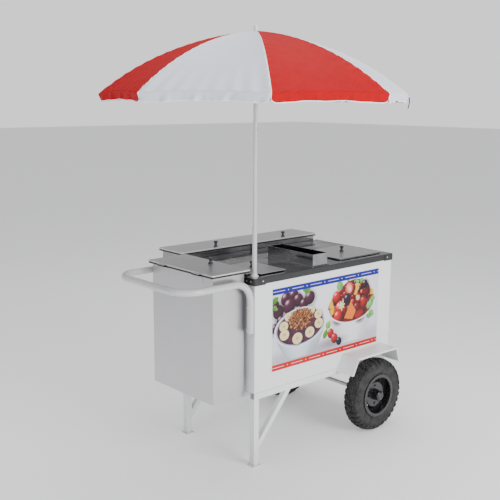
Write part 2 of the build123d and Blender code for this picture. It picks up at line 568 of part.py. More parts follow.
def canopy_curve(drop=0.0):
    """The canopy's arc from the pole to its edge, lowered by drop."""
    return ThreePointArc((0, APEX_Z - drop), (MID_R, MID_Z - drop), (CANOPY_R, EDGE_Z - drop))


RIB_TIP_R = CANOPY_R - TIP_BACK
RIB_DROP = CLOTH_T + RIB_ROOM + RIB_T / 2


def curve_height(r, drop=0.0):
    """Height of the canopy's arc at radius r."""
    arc = canopy_curve(drop)
    centre, radius = arc.arc_center, arc.radius
    return centre.Y + (radius ** 2 - (r - centre.X) ** 2) ** 0.5


PIVOT = Vector(PIVOT_R, PIVOT_Z)
TIP = Vector(RIB_TIP_R, curve_height(RIB_TIP_R, RIB_DROP))
RIB_ARC = ThreePointArc(PIVOT, Vector(MID_R, curve_height(MID_R, RIB_DROP)), TIP)
RIB_JOINT = RIB_ARC @ RIB_JOINT_AT
ARM = (RIB_JOINT - PIVOT).length                       # crown pivot to rivet = stretcher length
SLANT = acos((PIVOT.Y - RIB_JOINT.Y) / ARM)            # angle between that arm and the pole
RUNNER_PIVOT = Vector(PIVOT_R, PIVOT.Y - 2 * (PIVOT.Y - RIB_JOINT.Y))
RUNNER_TRAVEL = 2 * ARM * (cos(SLANT - radians(FOLD)) - cos(SLANT))


def crown():
    """Slotted hub on the pole's top that carries the ribs on short pins."""
    z0, z1 = PIVOT_Z - CROWN_T / 2, PIVOT_Z + CROWN_T / 2 - 1
    core = UPPER_R + RUN_CLEAR + RUNNER_WALL
    disc = rod(POLE_X, POLE_Y, z0, z1, CROWN_R)
    slot_w = RIB_T + 2 * CLEAR
    for azimuth in RIB_AZIMUTHS:
        slot = Pos((core + CROWN_R + 10) / 2 + 0.2, PIVOT_Z) * Rectangle(CROWN_R + 10 - core, 40)
        disc -= extrude(spoke_plane(azimuth) * slot, slot_w / 2, both=True)
    for azimuth in RIB_AZIMUTHS:
        pin = Pos(PIVOT_R, PIVOT_Z) * Circle(PIN_R)
        disc += extrude(spoke_plane(azimuth) * pin, slot_w / 2 + 1, both=True)
    disc += rod(POLE_X, POLE_Y, z0 - CROWN_NECK, z1, core)
    return disc - rod(POLE_X, POLE_Y, z0 - CROWN_NECK - 1, z1 + 1, UPPER_R + RUN_CLEAR)


def rib(azimuth):
    """One curved rib with its pivot eye, tip and the rivet for its stretcher."""
    half = RIB_T / 2
    top = [Vector(p.X, p.Y + half) for p in (PIVOT, RIB_ARC @ 0.5, TIP)]
    low = [Vector(p.X, p.Y - half) for p in (TIP, RIB_ARC @ 0.5, PIVOT)]
    with BuildSketch() as side:
        with BuildLine():
            ThreePointArc(*top)
            Line(top[2], low[0])
            ThreePointArc(*low)
            Line(low[2], top[0])
        make_face()
        with Locations(PIVOT):
            Circle(half)
        with Locations(PIVOT):
            Circle(PIN_R + RUN_CLEAR, mode=Mode.SUBTRACT)
    bar = extrude(spoke_plane(azimuth) * side.sketch, half, both=True)
    rivet_l = STRETCHER_SIDE + STRETCHER_T / 2 + RIVET_END
    rivet = extrude(spoke_plane(azimuth) * (Pos(RIB_JOINT.X, RIB_JOINT.Y) * Circle(RIVET_R)), rivet_l)
    return bar + rivet


def stretcher(azimuth):
    """The strut from the rib's rivet down to the runner."""
    middle = (RIB_JOINT + RUNNER_PIVOT) * 0.5
    span = RIB_JOINT - RUNNER_PIVOT
    angle = degrees(atan2(span.Y, span.X))
    flat = Pos(middle.X, middle.Y) * Rot(0, 0, angle) * SlotCenterToCenter(span.length, STRETCHER_W)
    flat -= Pos(RIB_JOINT.X, RIB_JOINT.Y) * Circle(RIVET_R + RUN_CLEAR)
    return extrude(spoke_plane(azimuth, STRETCHER_SIDE) * flat, STRETCHER_T / 2, both=True)


def runner():
    """Sliding hub: a sleeve on the pole with a slotted flange for the stretchers' ends."""
    z = RUNNER_PIVOT.Y
    core = UPPER_R + RUN_CLEAR + RUNNER_WALL
    hub = rod(POLE_X, POLE_Y, z - RUNNER_FLANGE_T / 2, z + RUNNER_FLANGE_T / 2, CROWN_R)
    slot_w = STRETCHER_T + 2 * CLEAR + SLOT_ROOM
    for azimuth in RIB_AZIMUTHS:
        slot = Pos((core + CROWN_R + 10) / 2, z) * Rectangle(CROWN_R + 10 - core, 40)
        hub -= extrude(spoke_plane(azimuth, STRETCHER_SIDE) * slot, slot_w / 2, both=True)
    hub += rod(POLE_X, POLE_Y, z - RUNNER_H * (1 - RUNNER_UP), z + RUNNER_H * RUNNER_UP, core)
    return hub - rod(POLE_X, POLE_Y, z - RUNNER_H, z + RUNNER_H, UPPER_R + RUN_CLEAR)


def gore(azimuth):
    """One eighth of the canopy, between two ribs, with its valance."""
    shrink = cos(radians(180.0 / RIBS))               # the edge lies nearer between two ribs
    edge = CANOPY_R * shrink
    inner_edge = edge - CLOTH_T
    out = [(0, APEX_Z), (MID_R * shrink, MID_Z), (edge, EDGE_Z)]
    corner = (inner_edge, curve_height(inner_edge / shrink, CLOTH_T))
    inn = [corner, (MID_R * shrink, curve_height(MID_R, CLOTH_T)), (0, APEX_Z - CLOTH_T)]
    with BuildSketch() as profile:
        with BuildLine():
            ThreePointArc(*out)
            Polyline(out[2], (edge, EDGE_Z - VALANCE), (inner_edge, EDGE_Z - VALANCE), corner)
            ThreePointArc(*inn)
            Line(inn[2], out[0])
        make_face()
    band = extrude(spoke_plane(azimuth) * profile.sketch, CANOPY_R, both=True)
    a, b, reach = radians(azimuth - 180.0 / RIBS), radians(azimuth + 180.0 / RIBS), 2 * CANOPY_R
    with BuildSketch() as wedge:
        with BuildLine():
            Polyline((0, 0), (reach * cos(a), reach * sin(a)), (reach * cos(b), reach * sin(b)), close=True)
        make_face()
    cutter = Pos(POLE_X, POLE_Y, EDGE_Z - 200) * extrude(wedge.sketch, 600)
    return band & cutter


def canopy():
    whole = gore(RIB_AZIMUTHS[0] + 180.0 / RIBS)
    for azimuth in RIB_AZIMUTHS[1:]:
        whole += gore(azimuth + 180.0 / RIBS)
    return whole - rod(POLE_X, POLE_Y, EDGE_Z, APEX_Z + 50, UPPER_R + CLEAR)


def finial():
    cap = rod(POLE_X, POLE_Y, APEX_Z, APEX_Z + FINIAL_H, FINIAL_R)
    cap = fillet(cap.faces().sort_by(Axis.Z)[-1].edges(), FINIAL_R * FINIAL_ROUND)
    return cap + rod(POLE_X, POLE_Y, APEX_Z - FINIAL_PLUG, APEX_Z, UPPER_R - POLE_WALL - RUN_CLEAR)


def graphic_panel():
    """Printed board on the near side."""
    return block(*BOARD_X, -BOARD_T, 0, *BOARD_Z)


# ---- write everything -----------------------------------------------------------------------
def main():
    save("chassis_frame", *chassis_frame())
    save("support_legs", *support_legs())
    save("foot_plates", *foot_plates())
    save("side_panels", *side_panels())
    save("end_panels", *end_panels())
    save("floor_panel", floor_panel())
    save("deck", deck())
    save("edge_trim", *edge_trim())
    save("corner_caps", *corner_caps())
    save("fasteners", *fasteners())
    save("lid_gaskets", *lid_gaskets())
    save("deck_wells", *deck_wells())
    save("centre_trough", centre_trough())
    save("side_box_shell", box_shell(SIDE_BOX, "-x"))
    save("rear_box_shells", box_shell(REAR_LEFT, "+y"), box_shell(REAR_RIGHT, "+y"))
    boxes = (SIDE_BOX, REAR_LEFT, REAR_RIGHT)
    save("box_insulation", *[box_foam(b) for b in boxes])
    save("box_liners", *[box_liner(b) for b in boxes])
    save("box_cleats", *box_cleats())
    save("push_handle", push_handle())
    save("fenders", fender(), mirrored(fender()))
    save("axle", axle())
    save("wheel_bearings", *wheel_bearings())
    save("graphic_panel", graphic_panel())
    save("umbrella_socket", umbrella_socket())
    save("near_tyre", tyre())
    save("near_rim", rim_barrel(), rim_disc())
    save("far_tyre", mirrored(tyre()))
    save("far_rim", mirrored(rim_barrel()), mirrored(rim_disc()))
    save("side_box_lid", box_lid(SIDE_BOX, "-x"))
    save("side_box_knob", knob(-SIDE_BOX_GAP - SIDE_KNOB_IN, WIDTH * SIDE_KNOB_AT, BOX_LID_Z + LID_T))
    for name, box in (("rear_left", REAR_LEFT), ("rear_right", REAR_RIGHT)):
        save(name + "_lid", box_lid(box, "+y"))
        save(name + "_knob", knob((box[0] + box[1]) / 2, REAR_Y0 + REAR_KNOB_IN, BOX_LID_Z + LID_T))
    for name, area, reach in (("flat_left", WELL_LEFT, LEFT_LID_REACH), ("flat_right", WELL_RIGHT, 0.0)):
        save(name + "_lid", flat_lid(area, reach))
        top = FLAT_LID_Z + FLAT_LID_T
        save(name + "_knob", knob((area[0] + area[1]) / 2, (area[2] + area[3]) / 2, top))
    save("lower_pole", lower_pole())
    save("upper_pole", upper_pole())
    save("crown", crown())
    save("finial", finial())
    save("runner", runner())
    save("canopy", canopy())
    for k, azimuth in enumerate(RIB_AZIMUTHS, 1):
        save(f"rib_{k}", rib(azimuth))
        save(f"stretcher_{k}", stretcher(azimuth))
    print("origin offset", ORIGIN_X, ORIGIN_Y, "arm", ARM, "slant", degrees(SLANT))
    print("pivot", PIVOT, "rivet", RIB_JOINT, "runner pivot", RUNNER_PIVOT, "runner travel", RUNNER_TRAVEL)


main()
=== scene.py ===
"""Looks of the push vending cart: a cloth parasol, knobby tyres, a printed board and the finishes."""
import json
import math

import bpy
import numpy as np
from mathutils import Matrix, Vector


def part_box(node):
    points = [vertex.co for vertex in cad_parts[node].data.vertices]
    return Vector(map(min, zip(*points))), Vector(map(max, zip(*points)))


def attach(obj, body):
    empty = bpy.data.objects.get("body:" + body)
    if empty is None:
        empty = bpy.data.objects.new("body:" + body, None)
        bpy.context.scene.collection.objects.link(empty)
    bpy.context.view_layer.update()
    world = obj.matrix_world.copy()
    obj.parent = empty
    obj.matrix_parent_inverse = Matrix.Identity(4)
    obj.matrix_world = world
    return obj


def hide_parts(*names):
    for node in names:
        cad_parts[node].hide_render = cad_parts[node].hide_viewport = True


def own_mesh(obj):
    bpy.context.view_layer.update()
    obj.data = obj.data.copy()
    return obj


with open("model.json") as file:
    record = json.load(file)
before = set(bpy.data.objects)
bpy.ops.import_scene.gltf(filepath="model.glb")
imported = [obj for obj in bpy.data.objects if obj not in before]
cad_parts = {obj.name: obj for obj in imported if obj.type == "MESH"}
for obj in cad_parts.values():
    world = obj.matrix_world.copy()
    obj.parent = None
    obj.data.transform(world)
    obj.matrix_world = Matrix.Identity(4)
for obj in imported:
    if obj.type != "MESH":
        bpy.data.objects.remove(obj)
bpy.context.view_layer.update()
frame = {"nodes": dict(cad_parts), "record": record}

RNG = np.random.default_rng(7)
MM = 0.001


# ---- shader building blocks -----------------------------------------------------------------
class Look:
    """A Principled material with a few shorthand ways to add procedural detail."""

    def __init__(self, name, base, rough, metallic=0.0, **sockets):
        self.mat = bpy.data.materials.new(name)
        self.mat.use_nodes = True
        self.tree = self.mat.node_tree
        self.shader = self.tree.nodes["Principled BSDF"]
        self.set("Base Color", (*base, 1.0))
        self.set("Roughness", rough)
        self.set("Metallic", metallic)
        for socket, value in sockets.items():
            self.set(socket.replace("_", " "), value)
        self.coords = self.node("ShaderNodeTexCoord").outputs["Object"]
        self.normal = None

    def set(self, socket, value):
        self.shader.inputs[socket].default_value = value

    def node(self, kind, **settings):
        made = self.tree.nodes.new(kind)
        for key, value in settings.items():
            setattr(made, key, value)
        return made

    def link(self, source, target):
        self.tree.links.new(source, target)

    def noise(self, scale, detail=3.0, stretch=(1, 1, 1), rough=0.5):
        """Noise in object space; stretch scales each axis, so a small number draws the grain out."""
        mapping = self.node("ShaderNodeMapping")
        mapping.inputs["Scale"].default_value = stretch
        self.link(self.coords, mapping.inputs["Vector"])
        noise = self.node("ShaderNodeTexNoise")
        noise.inputs["Scale"].default_value = scale
        noise.inputs["Detail"].default_value = detail
        noise.inputs["Roughness"].default_value = rough
        self.link(mapping.outputs["Vector"], noise.inputs["Vector"])
        return noise.outputs["Fac"]

    def axis(self, name):
        """One object-space coordinate, in metres."""
        split = self.node("ShaderNodeSeparateXYZ")
        self.link(self.coords, split.inputs["Vector"])
        return split.outputs[name]

    def math(self, operation, a, b=0.0, c=0.0):
        """A Math node; each of a, b and c is a number or a socket."""
        made = self.node("ShaderNodeMath", operation=operation)
        for socket, value in zip(made.inputs, (a, b, c)):
            if isinstance(value, (int, float)):
                socket.default_value = value
            else:
                self.link(value, socket)
        return made.outputs[0]

    def ramp(self, value, *stops):
        """Colour ramp; each stop is (position, (r, g, b)) or (position, grey)."""
        made = self.node("ShaderNodeValToRGB")
        elements = made.color_ramp.elements
        for k, (position, colour) in enumerate(stops):
            element = elements[k] if k < 2 else elements.new(position)
            element.position = position
            rgb = colour if isinstance(colour, tuple) else (colour, colour, colour)
            element.color = (*rgb, 1.0)
        self.link(value, made.inputs["Fac"])
        return made.outputs["Color"]

    def mix(self, factor, a, b):
        """Colour a where factor is 0 and b where it is 1."""
        made = self.node("ShaderNodeMix", data_type="RGBA")
        for name, value in (("Factor", factor), ("A", a), ("B", b)):
            socket = made.inputs[name]
            if isinstance(value, (int, float)):
                socket.default_value = value
            elif isinstance(value, tuple):
                socket.default_value = (*value, 1.0)
            else:
                self.link(value, socket)
        return made.outputs["Result"]

    def colour(self, source):
        self.link(source, self.shader.inputs["Base Color"])
        return self

    def roughness(self, source, low, high):
        """Roughness from low to high as source goes from 0 to 1."""
        spread = self.node("ShaderNodeMapRange")
        spread.inputs["To Min"].default_value = low
        spread.inputs["To Max"].default_value = high
        self.link(source, spread.inputs["Value"])
        self.link(spread.outputs["Result"], self.shader.inputs["Roughness"])
        return self

    def bump(self, height, strength, distance):
        """Lay a bump over what shapes the normal so far."""
        made = self.node("ShaderNodeBump")
        made.inputs["Strength"].default_value = strength
        made.inputs["Distance"].default_value = distance
        self.link(height, made.inputs["Height"])
        if self.normal:
            self.link(self.normal, made.inputs["Normal"])
        self.normal = made.outputs["Normal"]
        self.link(self.normal, self.shader.inputs["Normal"])
        return self

    def soft_edges(self, radius):
        """Round the sharp edges of sheet metal in the shading."""
        made = self.node("ShaderNodeBevel", samples=6)
        made.inputs["Radius"].default_value = radius
        self.normal = made.outputs["Normal"]
        self.link(self.normal, self.shader.inputs["Normal"])
        return self


def white_paint():
    """Gloss paint on the frame, with some grime towards the floor."""
    look = Look("white_paint", (0.80, 0.81, 0.82), 0.32, Coat_Weight=0.25, Coat_Roughness=0.12)
    look.soft_edges(0.0012)
    grime = look.ramp(look.axis("Z"), (0.0, 1.0), (0.16, 0.0))
    patches = look.math("MULTIPLY", grime, look.noise(38, 6))
    clean = look.mix(look.noise(7, 2), (0.78, 0.79, 0.80), (0.84, 0.85, 0.86))
    look.colour(look.mix(look.math("MULTIPLY", patches, 0.55), clean, (0.42, 0.39, 0.34)))
    return look.roughness(look.noise(24, 4), 0.24, 0.42).bump(look.noise(750, 2), 0.08, 0.0004)


def panel_white():
    """The cabinet's painted panels, with light scuffs and a painted shadow along the seam at their lower
    edge.
    """
    look = Look("panel_white", (0.84, 0.85, 0.86), 0.3, Coat_Weight=0.35, Coat_Roughness=0.1)
    look.soft_edges(0.0012)
    scuffs = look.ramp(look.noise(60, 8, (0.3, 1, 1)), (0.62, 0.0), (0.72, 0.14))
    clean = look.mix(look.noise(2.2, 2), (0.82, 0.83, 0.84), (0.86, 0.87, 0.88))
    # painted shadow: a dark band at the panels' lower edge stands in for the shade in the gap to the
    # frame rail
    seam = look.math("COMPARE", look.axis("Z"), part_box("side_panels")[0].z, 0.0016)
    look.colour(look.mix(seam, look.mix(scuffs, clean, (0.60, 0.60, 0.60)), (0.30, 0.30, 0.31)))
    look.roughness(look.noise(9, 5), 0.22, 0.38)
    return look.bump(look.noise(1.6, 1), 0.35, 0.004).bump(look.noise(900, 2), 0.05, 0.0003)


def brushed_steel(name, along, base=(0.60, 0.60, 0.61), rough=(0.24, 0.40)):
    """Satin stainless with its grain drawn out along one axis: 0, 1 or 2."""
    look = Look(name, base, 0.3, 1.0)
    look.soft_edges(0.001)
    stretch = [1.0, 1.0, 1.0]
    stretch[along] = 0.012
    grain = look.noise(900, 3, tuple(stretch))
    cloud = look.noise(3.2, 3)
    tone = look.mix(cloud, tuple(c * 0.93 for c in base), tuple(min(1.0, c * 1.08) for c in base))
    look.colour(look.mix(look.math("MULTIPLY", grain, 0.22), tone, tuple(c * 0.72 for c in base)))
    look.roughness(grain, *rough)
    return look.bump(look.noise(2.4, 1), 0.30, 0.004).bump(grain, 0.12, 0.0002)


def polished_steel():
    """Counter steel: near mirror, dark where it sees the room, with smears, swirls and painted glints."""
    look = Look("polished_steel", (0.40, 0.40, 0.41), 0.1, 1.0)
    look.soft_edges(0.0012)
    smears = look.noise(9, 6, (1, 0.45, 1))
    scratch = look.ramp(look.noise(520, 2, (0.03, 1, 1)), (0.63, 0.0), (0.69, 1.0))
    # painted highlights: scattered bright specks in the colour stand in for glints of reflected light
    painted_glints = look.ramp(look.noise(70, 3, (0.5, 1, 1)), (0.68, 0.0), (0.74, 1.0))
    steel = look.mix(smears, (0.20, 0.20, 0.21), (0.50, 0.50, 0.51))
    look.colour(look.mix(look.math("MULTIPLY", painted_glints, 0.6), steel, (0.85, 0.85, 0.86)))
    worn = look.math("ADD", look.math("MULTIPLY", smears, 0.6), look.math("MULTIPLY", scratch, 0.5))
    look.roughness(worn, 0.05, 0.24)
    return look.bump(look.noise(6, 3, (1, 1, 0.6)), 0.55, 0.004).bump(scratch, 0.08, 0.0001)


def satin_lid(name, base, dark_below):
    """Satin metal skin over foam, black and not metallic below a given height."""
    look = Look(name, base, 0.3, 1.0)
    look.soft_edges(0.0012)
    grain = look.noise(900, 3, (0.012, 1, 1))
    skin = look.mix(look.noise(3.2, 3), tuple(c * 0.86 for c in base), base)
    skin = look.mix(look.math("MULTIPLY", grain, 0.15), skin, tuple(c * 0.7 for c in base))
    # the lid is black and not metallic below the given height
    metal = look.math("GREATER_THAN", look.axis("Z"), dark_below)
    look.colour(look.mix(metal, (0.012, 0.012, 0.013), skin))
    look.link(metal, look.shader.inputs["Metallic"])
    look.roughness(grain, 0.26, 0.44)
    return look.bump(look.noise(2.4, 1), 0.30, 0.004).bump(grain, 0.10, 0.0002)


def zinc():
    look = Look("zinc", (0.56, 0.56, 0.54), 0.38, 1.0)
    look.colour(look.mix(look.noise(160, 3), (0.48, 0.48, 0.47), (0.66, 0.66, 0.63)))
    return look.roughness(look.noise(90, 3), 0.28, 0.5)


def black_plastic(name, rough=0.35, grain=1400):
    look = Look(name, (0.014, 0.014, 0.016), rough, Coat_Weight=0.1)
    look.colour(look.mix(look.noise(45, 4), (0.010, 0.010, 0.011), (0.026, 0.026, 0.028)))
    look.roughness(look.noise(30, 4), rough - 0.08, rough + 0.12)
    return look.bump(look.noise(grain, 2), 0.25, 0.0002)


def black_paint():
    look = Look("black_paint", (0.016, 0.016, 0.017), 0.3, Coat_Weight=0.4, Coat_Roughness=0.18)
    look.soft_edges(0.0008)
    dust = look.ramp(look.noise(85, 7), (0.50, 0.0), (0.80, 0.22))
    look.colour(look.mix(dust, (0.008, 0.008, 0.009), (0.060, 0.056, 0.052)))
    return look.roughness(look.noise(70, 5), 0.14, 0.38).bump(look.noise(500, 2), 0.10, 0.0003)


def rubber(name, dusty):
    """Tyre rubber; dusty adds the dry grey film that a used tread has."""
    look = Look(name, (0.018, 0.018, 0.019), 0.72)
    film = look.ramp(look.noise(26, 7, rough=0.65), (0.38, 0.0), (0.8, dusty))
    look.colour(look.mix(film, (0.008, 0.008, 0.0085), (0.070, 0.066, 0.060)))
    return look.roughness(look.noise(60, 4), 0.58, 0.85).bump(look.noise(700, 3), 0.35, 0.0004)


def foam():
    look = Look("foam", (0.80, 0.74, 0.55), 0.9)
    look.colour(look.mix(look.noise(300, 4), (0.72, 0.66, 0.48), (0.86, 0.80, 0.62)))
    return look.bump(look.noise(800), 0.5, 0.001)


def moulded_white():
    look = Look("moulded_white", (0.82, 0.82, 0.81), 0.3, Subsurface_Weight=0.08)
    look.colour(look.mix(look.noise(50, 3), (0.78, 0.78, 0.76), (0.85, 0.85, 0.84)))
    return look.roughness(look.noise(120, 3), 0.22, 0.42).bump(look.noise(600, 2), 0.1, 0.0002)


def shaded_pole_paint():
    """Glossy tube paint, drawn out along the tube, in a grey well below the frame's white: painted shade
    on the white pole, ribs and handle.
    """
    # painted shade: the white tubes get a mid grey so that they read as shaded
    look = Look("shaded_pole_paint", (0.58, 0.58, 0.59), 0.26, Coat_Weight=0.5, Coat_Roughness=0.08)
    streak = look.noise(240, 3, (1, 1, 0.02))
    look.colour(look.mix(streak, (0.54, 0.54, 0.55), (0.63, 0.63, 0.64)))
    return look.roughness(streak, 0.2, 0.34).bump(look.noise(400, 2, (1, 1, 0.1)), 0.08, 0.0002)


def cloth(name, colour, shade):
    """Light coated polyester: a fine plain weave, soft sheen and slight mottling."""
    look = Look(name, colour, 0.7, Sheen_Weight=0.02, Sheen_Roughness=0.45, Specular_IOR_Level=0.08)
    dark = tuple(c * shade for c in colour)
    look.colour(look.mix(look.noise(14, 5), dark, colour))
    threads = [look.node("ShaderNodeTexWave", wave_type="BANDS", bands_direction=way)
               for way in ("X", "Y")]
    for wave in threads:
        wave.inputs["Scale"].default_value = 260
        wave.inputs["Distortion"].default_value = 0.6
        look.link(look.coords, wave.inputs["Vector"])
    weave = look.math("MULTIPLY", threads[0].outputs["Fac"], threads[1].outputs["Fac"])
    look.roughness(look.noise(30, 3), 0.5, 0.72)
    return look.bump(weave, 0.22, 0.0004).bump(look.noise(55, 4), 0.25, 0.0012)


def painted_print():
    """The board's picture, from the colours painted on its points, under a satin film."""
    look = Look("board_print", (0.8, 0.8, 0.8), 0.3, Coat_Weight=0.12, Coat_Roughness=0.1,
                Specular_IOR_Level=0.3)
    ink = look.node("ShaderNodeVertexColor", layer_name="ink").outputs["Color"]
    screen = look.noise(1400, 1)
    look.colour(look.mix(look.math("MULTIPLY", screen, 0.10), ink, (0.0, 0.0, 0.0)))
    return look.roughness(look.noise(12, 4), 0.24, 0.40).bump(look.noise(5, 2), 0.15, 0.001)


BOX_LID_DARK_BAND, FLAT_LID_DARK_BAND = 0.0085, 0.0012       # height of the black band, from each lid's underside

LOOKS = {
    "white_paint": white_paint().mat,
    "panel_white": panel_white().mat,
    "stainless": brushed_steel("stainless", 2).mat,
    "polished_steel": polished_steel().mat,
    "lid_sheet": satin_lid("lid_sheet", (0.84, 0.84, 0.845),
                           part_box("side_box_lid")[0].z + BOX_LID_DARK_BAND).mat,
    "flat_lid": satin_lid("flat_lid", (0.78, 0.78, 0.785),
                          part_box("flat_right_lid")[0].z + FLAT_LID_DARK_BAND).mat,
    "zinc": zinc().mat,
    "cleat_metal": brushed_steel("cleat_metal", 1, (0.55, 0.55, 0.56)).mat,
    "black_trim": black_plastic("black_trim", 0.3, 1800).mat,
    "black_plastic": black_plastic("black_plastic", 0.28).mat,
    "black_rubber": rubber("gasket_rubber", 0.05).mat,
    "tyre": rubber("tyre_rubber", 0.75).mat,
    "black_paint": black_paint().mat,
    "foam": foam().mat,
    "graphic": painted_print().mat,
    "umbrella_plastic": moulded_white().mat,
    # the white pole, the ribs and the handle take the grey tube paint, which is painted shade
    "white_pole": shaded_pole_paint().mat,
    "rib_steel": shaded_pole_paint().mat,
    "canopy_red": cloth("canopy_red", (0.47, 0.0008, 0.006), 0.82).mat,
    "canopy_white": cloth("canopy_white", (0.76, 0.79, 0.87), 0.95).mat,
    # painted shade: darker, duskier copies of the red and white cloth for the underside stand in for the
    # shade under the canopy and the light through it
    "canopy_red_inside_shaded": cloth("canopy_red_inside_shaded", (0.36, 0.03, 0.045), 0.85).mat,
    "canopy_white_inside_shaded": cloth("canopy_white_inside_shaded", (0.46, 0.47, 0.50), 0.92).mat,
    "piping": cloth("piping", (0.93, 0.94, 0.96), 0.98).mat,
    "strap": cloth("strap", (0.05, 0.05, 0.055), 0.8).mat,
}


def dress_cad_nodes():
    """Give every CAD node the finish of its slot, or its own finish where it has one."""
    slots = {s["node"]: s["material_slot"] for s in frame["record"]["subparts"]}
    own = {"flat_left_lid": "flat_lid", "flat_right_lid": "flat_lid", "canopy": "canopy_red",
           "rear_box_shells": "polished_steel", "push_handle": "white_pole"}
    for name, node in frame["nodes"].items():
        node.data.materials.clear()
        node.data.materials.append(LOOKS[own.get(name, slots[name])])
        for polygon in node.data.polygons:
            polygon.material_index = 0


# ---- mesh helpers ---------------------------------------------------------------------------
def mesh_piece(name, points, faces, looks, indices=None, smooth=True, normals=None):
    """A new object. looks are names in LOOKS, and indices says which of them each face has."""
    mesh = bpy.data.meshes.new(name)
    mesh.from_pydata([tuple(p) for p in points], [], [tuple(int(i) for i in f) for f in faces])
    for look in looks:
        mesh.materials.append(LOOKS[look])
    mesh.polygons.foreach_set("use_smooth", [smooth] * len(mesh.polygons))
    if indices is not None:
        mesh.polygons.foreach_set("material_index", [int(i) for i in indices])
    mesh.update()
    if normals is not None:
        mesh.normals_split_custom_set_from_vertices([tuple(n) for n in normals])
    piece = bpy.data.objects.new(name, mesh)
    bpy.context.scene.collection.objects.link(piece)
    return piece


def grid_faces(rows, columns, closed=False):
    """Quads over rows by columns of points; closed joins the last column to the first."""
    faces = []
    for i in range(rows - 1):
        for j in range(columns if closed else columns - 1):
            k = (j + 1) % columns
            faces.append((i * columns + j, i * columns + k, (i + 1) * columns + k, (i + 1) * columns + j))
    return faces


# ---- parasol canopy -------------------------------------------------------------------------
RIBS = 8
FIRST_RIB = math.radians(7.5)
HALF_GORE = math.pi / RIBS
VALANCE = 0.038
CLOTH, PIPING = 0.0007, 0.0010         # thickness of the cloth, and of the tape laid over it
SEAM = 0.0086                          # half the tape's width on a rib's seam, in gores
HEM = 1.89                             # where the tape on the valance's lower edge begins
CANOPY_LOW, CANOPY_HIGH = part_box("canopy")
AXIS_X, AXIS_Y = (CANOPY_LOW.x + CANOPY_HIGH.x) / 2, (CANOPY_LOW.y + CANOPY_HIGH.y) / 2
CANOPY_R = (CANOPY_HIGH.x - CANOPY_LOW.x) / 2 / math.cos(FIRST_RIB)
HOLE_R = 0.0110                        # clears the finial all round, though the hole has flat sides
APEX_Z, EDGE_Z = CANOPY_HIGH.z + CLOTH, CANOPY_LOW.z + VALANCE
MID_R, MID_Z = CANOPY_R * 0.594, APEX_Z - (APEX_Z - EDGE_Z) * 0.38     # a point that the section meets
CANOPY_LOOKS = ["canopy_red", "canopy_white", "canopy_red_inside_shaded", "canopy_white_inside_shaded", "piping"]
RED_OUT, WHITE_OUT, RED_IN_SHADED, WHITE_IN_SHADED, TAPE = range(5)                  # places in CANOPY_LOOKS; the two inside looks are painted shade


def arc_through(a, b, c):
    """Centre and radius of the circle through three (r, z) points."""
    m = np.array([[b[0] - a[0], b[1] - a[1]], [c[0] - a[0], c[1] - a[1]]]) * 2
    rhs = np.array([p[0] ** 2 + p[1] ** 2 - a[0] ** 2 - a[1] ** 2 for p in (b, c)])
    centre = np.linalg.solve(m, rhs)
    return centre, math.hypot(a[0] - centre[0], a[1] - centre[1])


ARC_CENTRE, ARC_R = arc_through((0, APEX_Z), (MID_R, MID_Z), (CANOPY_R, EDGE_Z))


def canopy_point(across, along):
    """A point of the cloth. across counts gores from rib 1, so whole numbers are ribs.
    along goes from 0 at the pole to 1 at the hem, and on to 2 at the valance's lower edge."""
    gore = np.floor(across)
    t = across - gore                                     # 0 and 1 on the two ribs of this gore
    span = np.clip(along, 0, 1)
    drop = np.clip(along - 1, 0, 1)
    middle = 4 * t * (1 - t)                              # 1 halfway between two ribs
    r = HOLE_R + (CANOPY_R - HOLE_R) * span * (1 - 0.016 * middle * span ** 3)
    a0 = FIRST_RIB + gore * 2 * HALF_GORE
    a1 = a0 + 2 * HALF_GORE
    x = r * ((1 - t) * np.cos(a0) + t * np.cos(a1))
    y = r * ((1 - t) * np.sin(a0) + t * np.sin(a1))
    z = ARC_CENTRE[1] + np.sqrt(ARC_R ** 2 - (r - ARC_CENTRE[0]) ** 2)
    seed = gore * 1.7
    z = z - 0.014 * middle * np.sin(math.pi * span ** 1.3) * (1 - drop)     # sag between the ribs
    pucker = np.exp(-(np.minimum(t, 1 - t) * span * 14) ** 2)
    z = z + 0.0022 * pucker * np.sin(span * 95 + seed) * span * (1 - drop)  # puckers along the seams
    fan = np.exp(-((1 - span) * 6) ** 2) * (1 - drop)     # creases that fan out from the rib tips
    z = z + 0.0042 * fan * np.sin((t + 0.02 * seed) * 46) * (1 - middle * 0.6)
    skew = t + 0.035 * drop * np.sin(seed + 1)            # the valance's ripples
    wave = (np.sin(skew * 31 + seed) + 0.6 * np.sin(skew * 57 + 2 * seed)
            + 0.5 * np.sin(skew * 83 + 3 * seed)) / 2.1
    ripple = (0.0080 * wave * np.sqrt(middle) - 0.008) * drop
    out = 1 + ripple / np.maximum(np.hypot(x, y), 0.01)
    corner = np.clip(1 - np.minimum(t, 1 - t) / 0.055, 0, 1)      # each gore's flap has round corners
    flap = 0.24 + 0.76 * np.sqrt(np.clip(1 - corner ** 2, 0, 1))
    z = z - VALANCE * drop * flap * (1 - 0.05 * (1 + np.sin(t * 19 + seed)) * middle)
    return np.stack([AXIS_X + x * out, AXIS_Y + y * out, np.maximum(z, CANOPY_LOW.z)], -1)


def canopy_lines():
    """Where the cloth's grid lines lie: dense at the ribs' seams, the hem and the lower edge."""
    half = np.concatenate([[0, 0.004, 0.0085, 0.014, 0.021, 0.03, 0.042, 0.055],
                           np.linspace(0.08, 0.5, 15)])
    across = np.concatenate([-half[::-1], half[1:]])
    along = np.concatenate([np.linspace(0, 1, 46)[:-1], [0.993, 1.0, 1.09],
                            np.linspace(1.2, 1.82, 6), [1.9, 1.95, 2.0]])
    return across, along


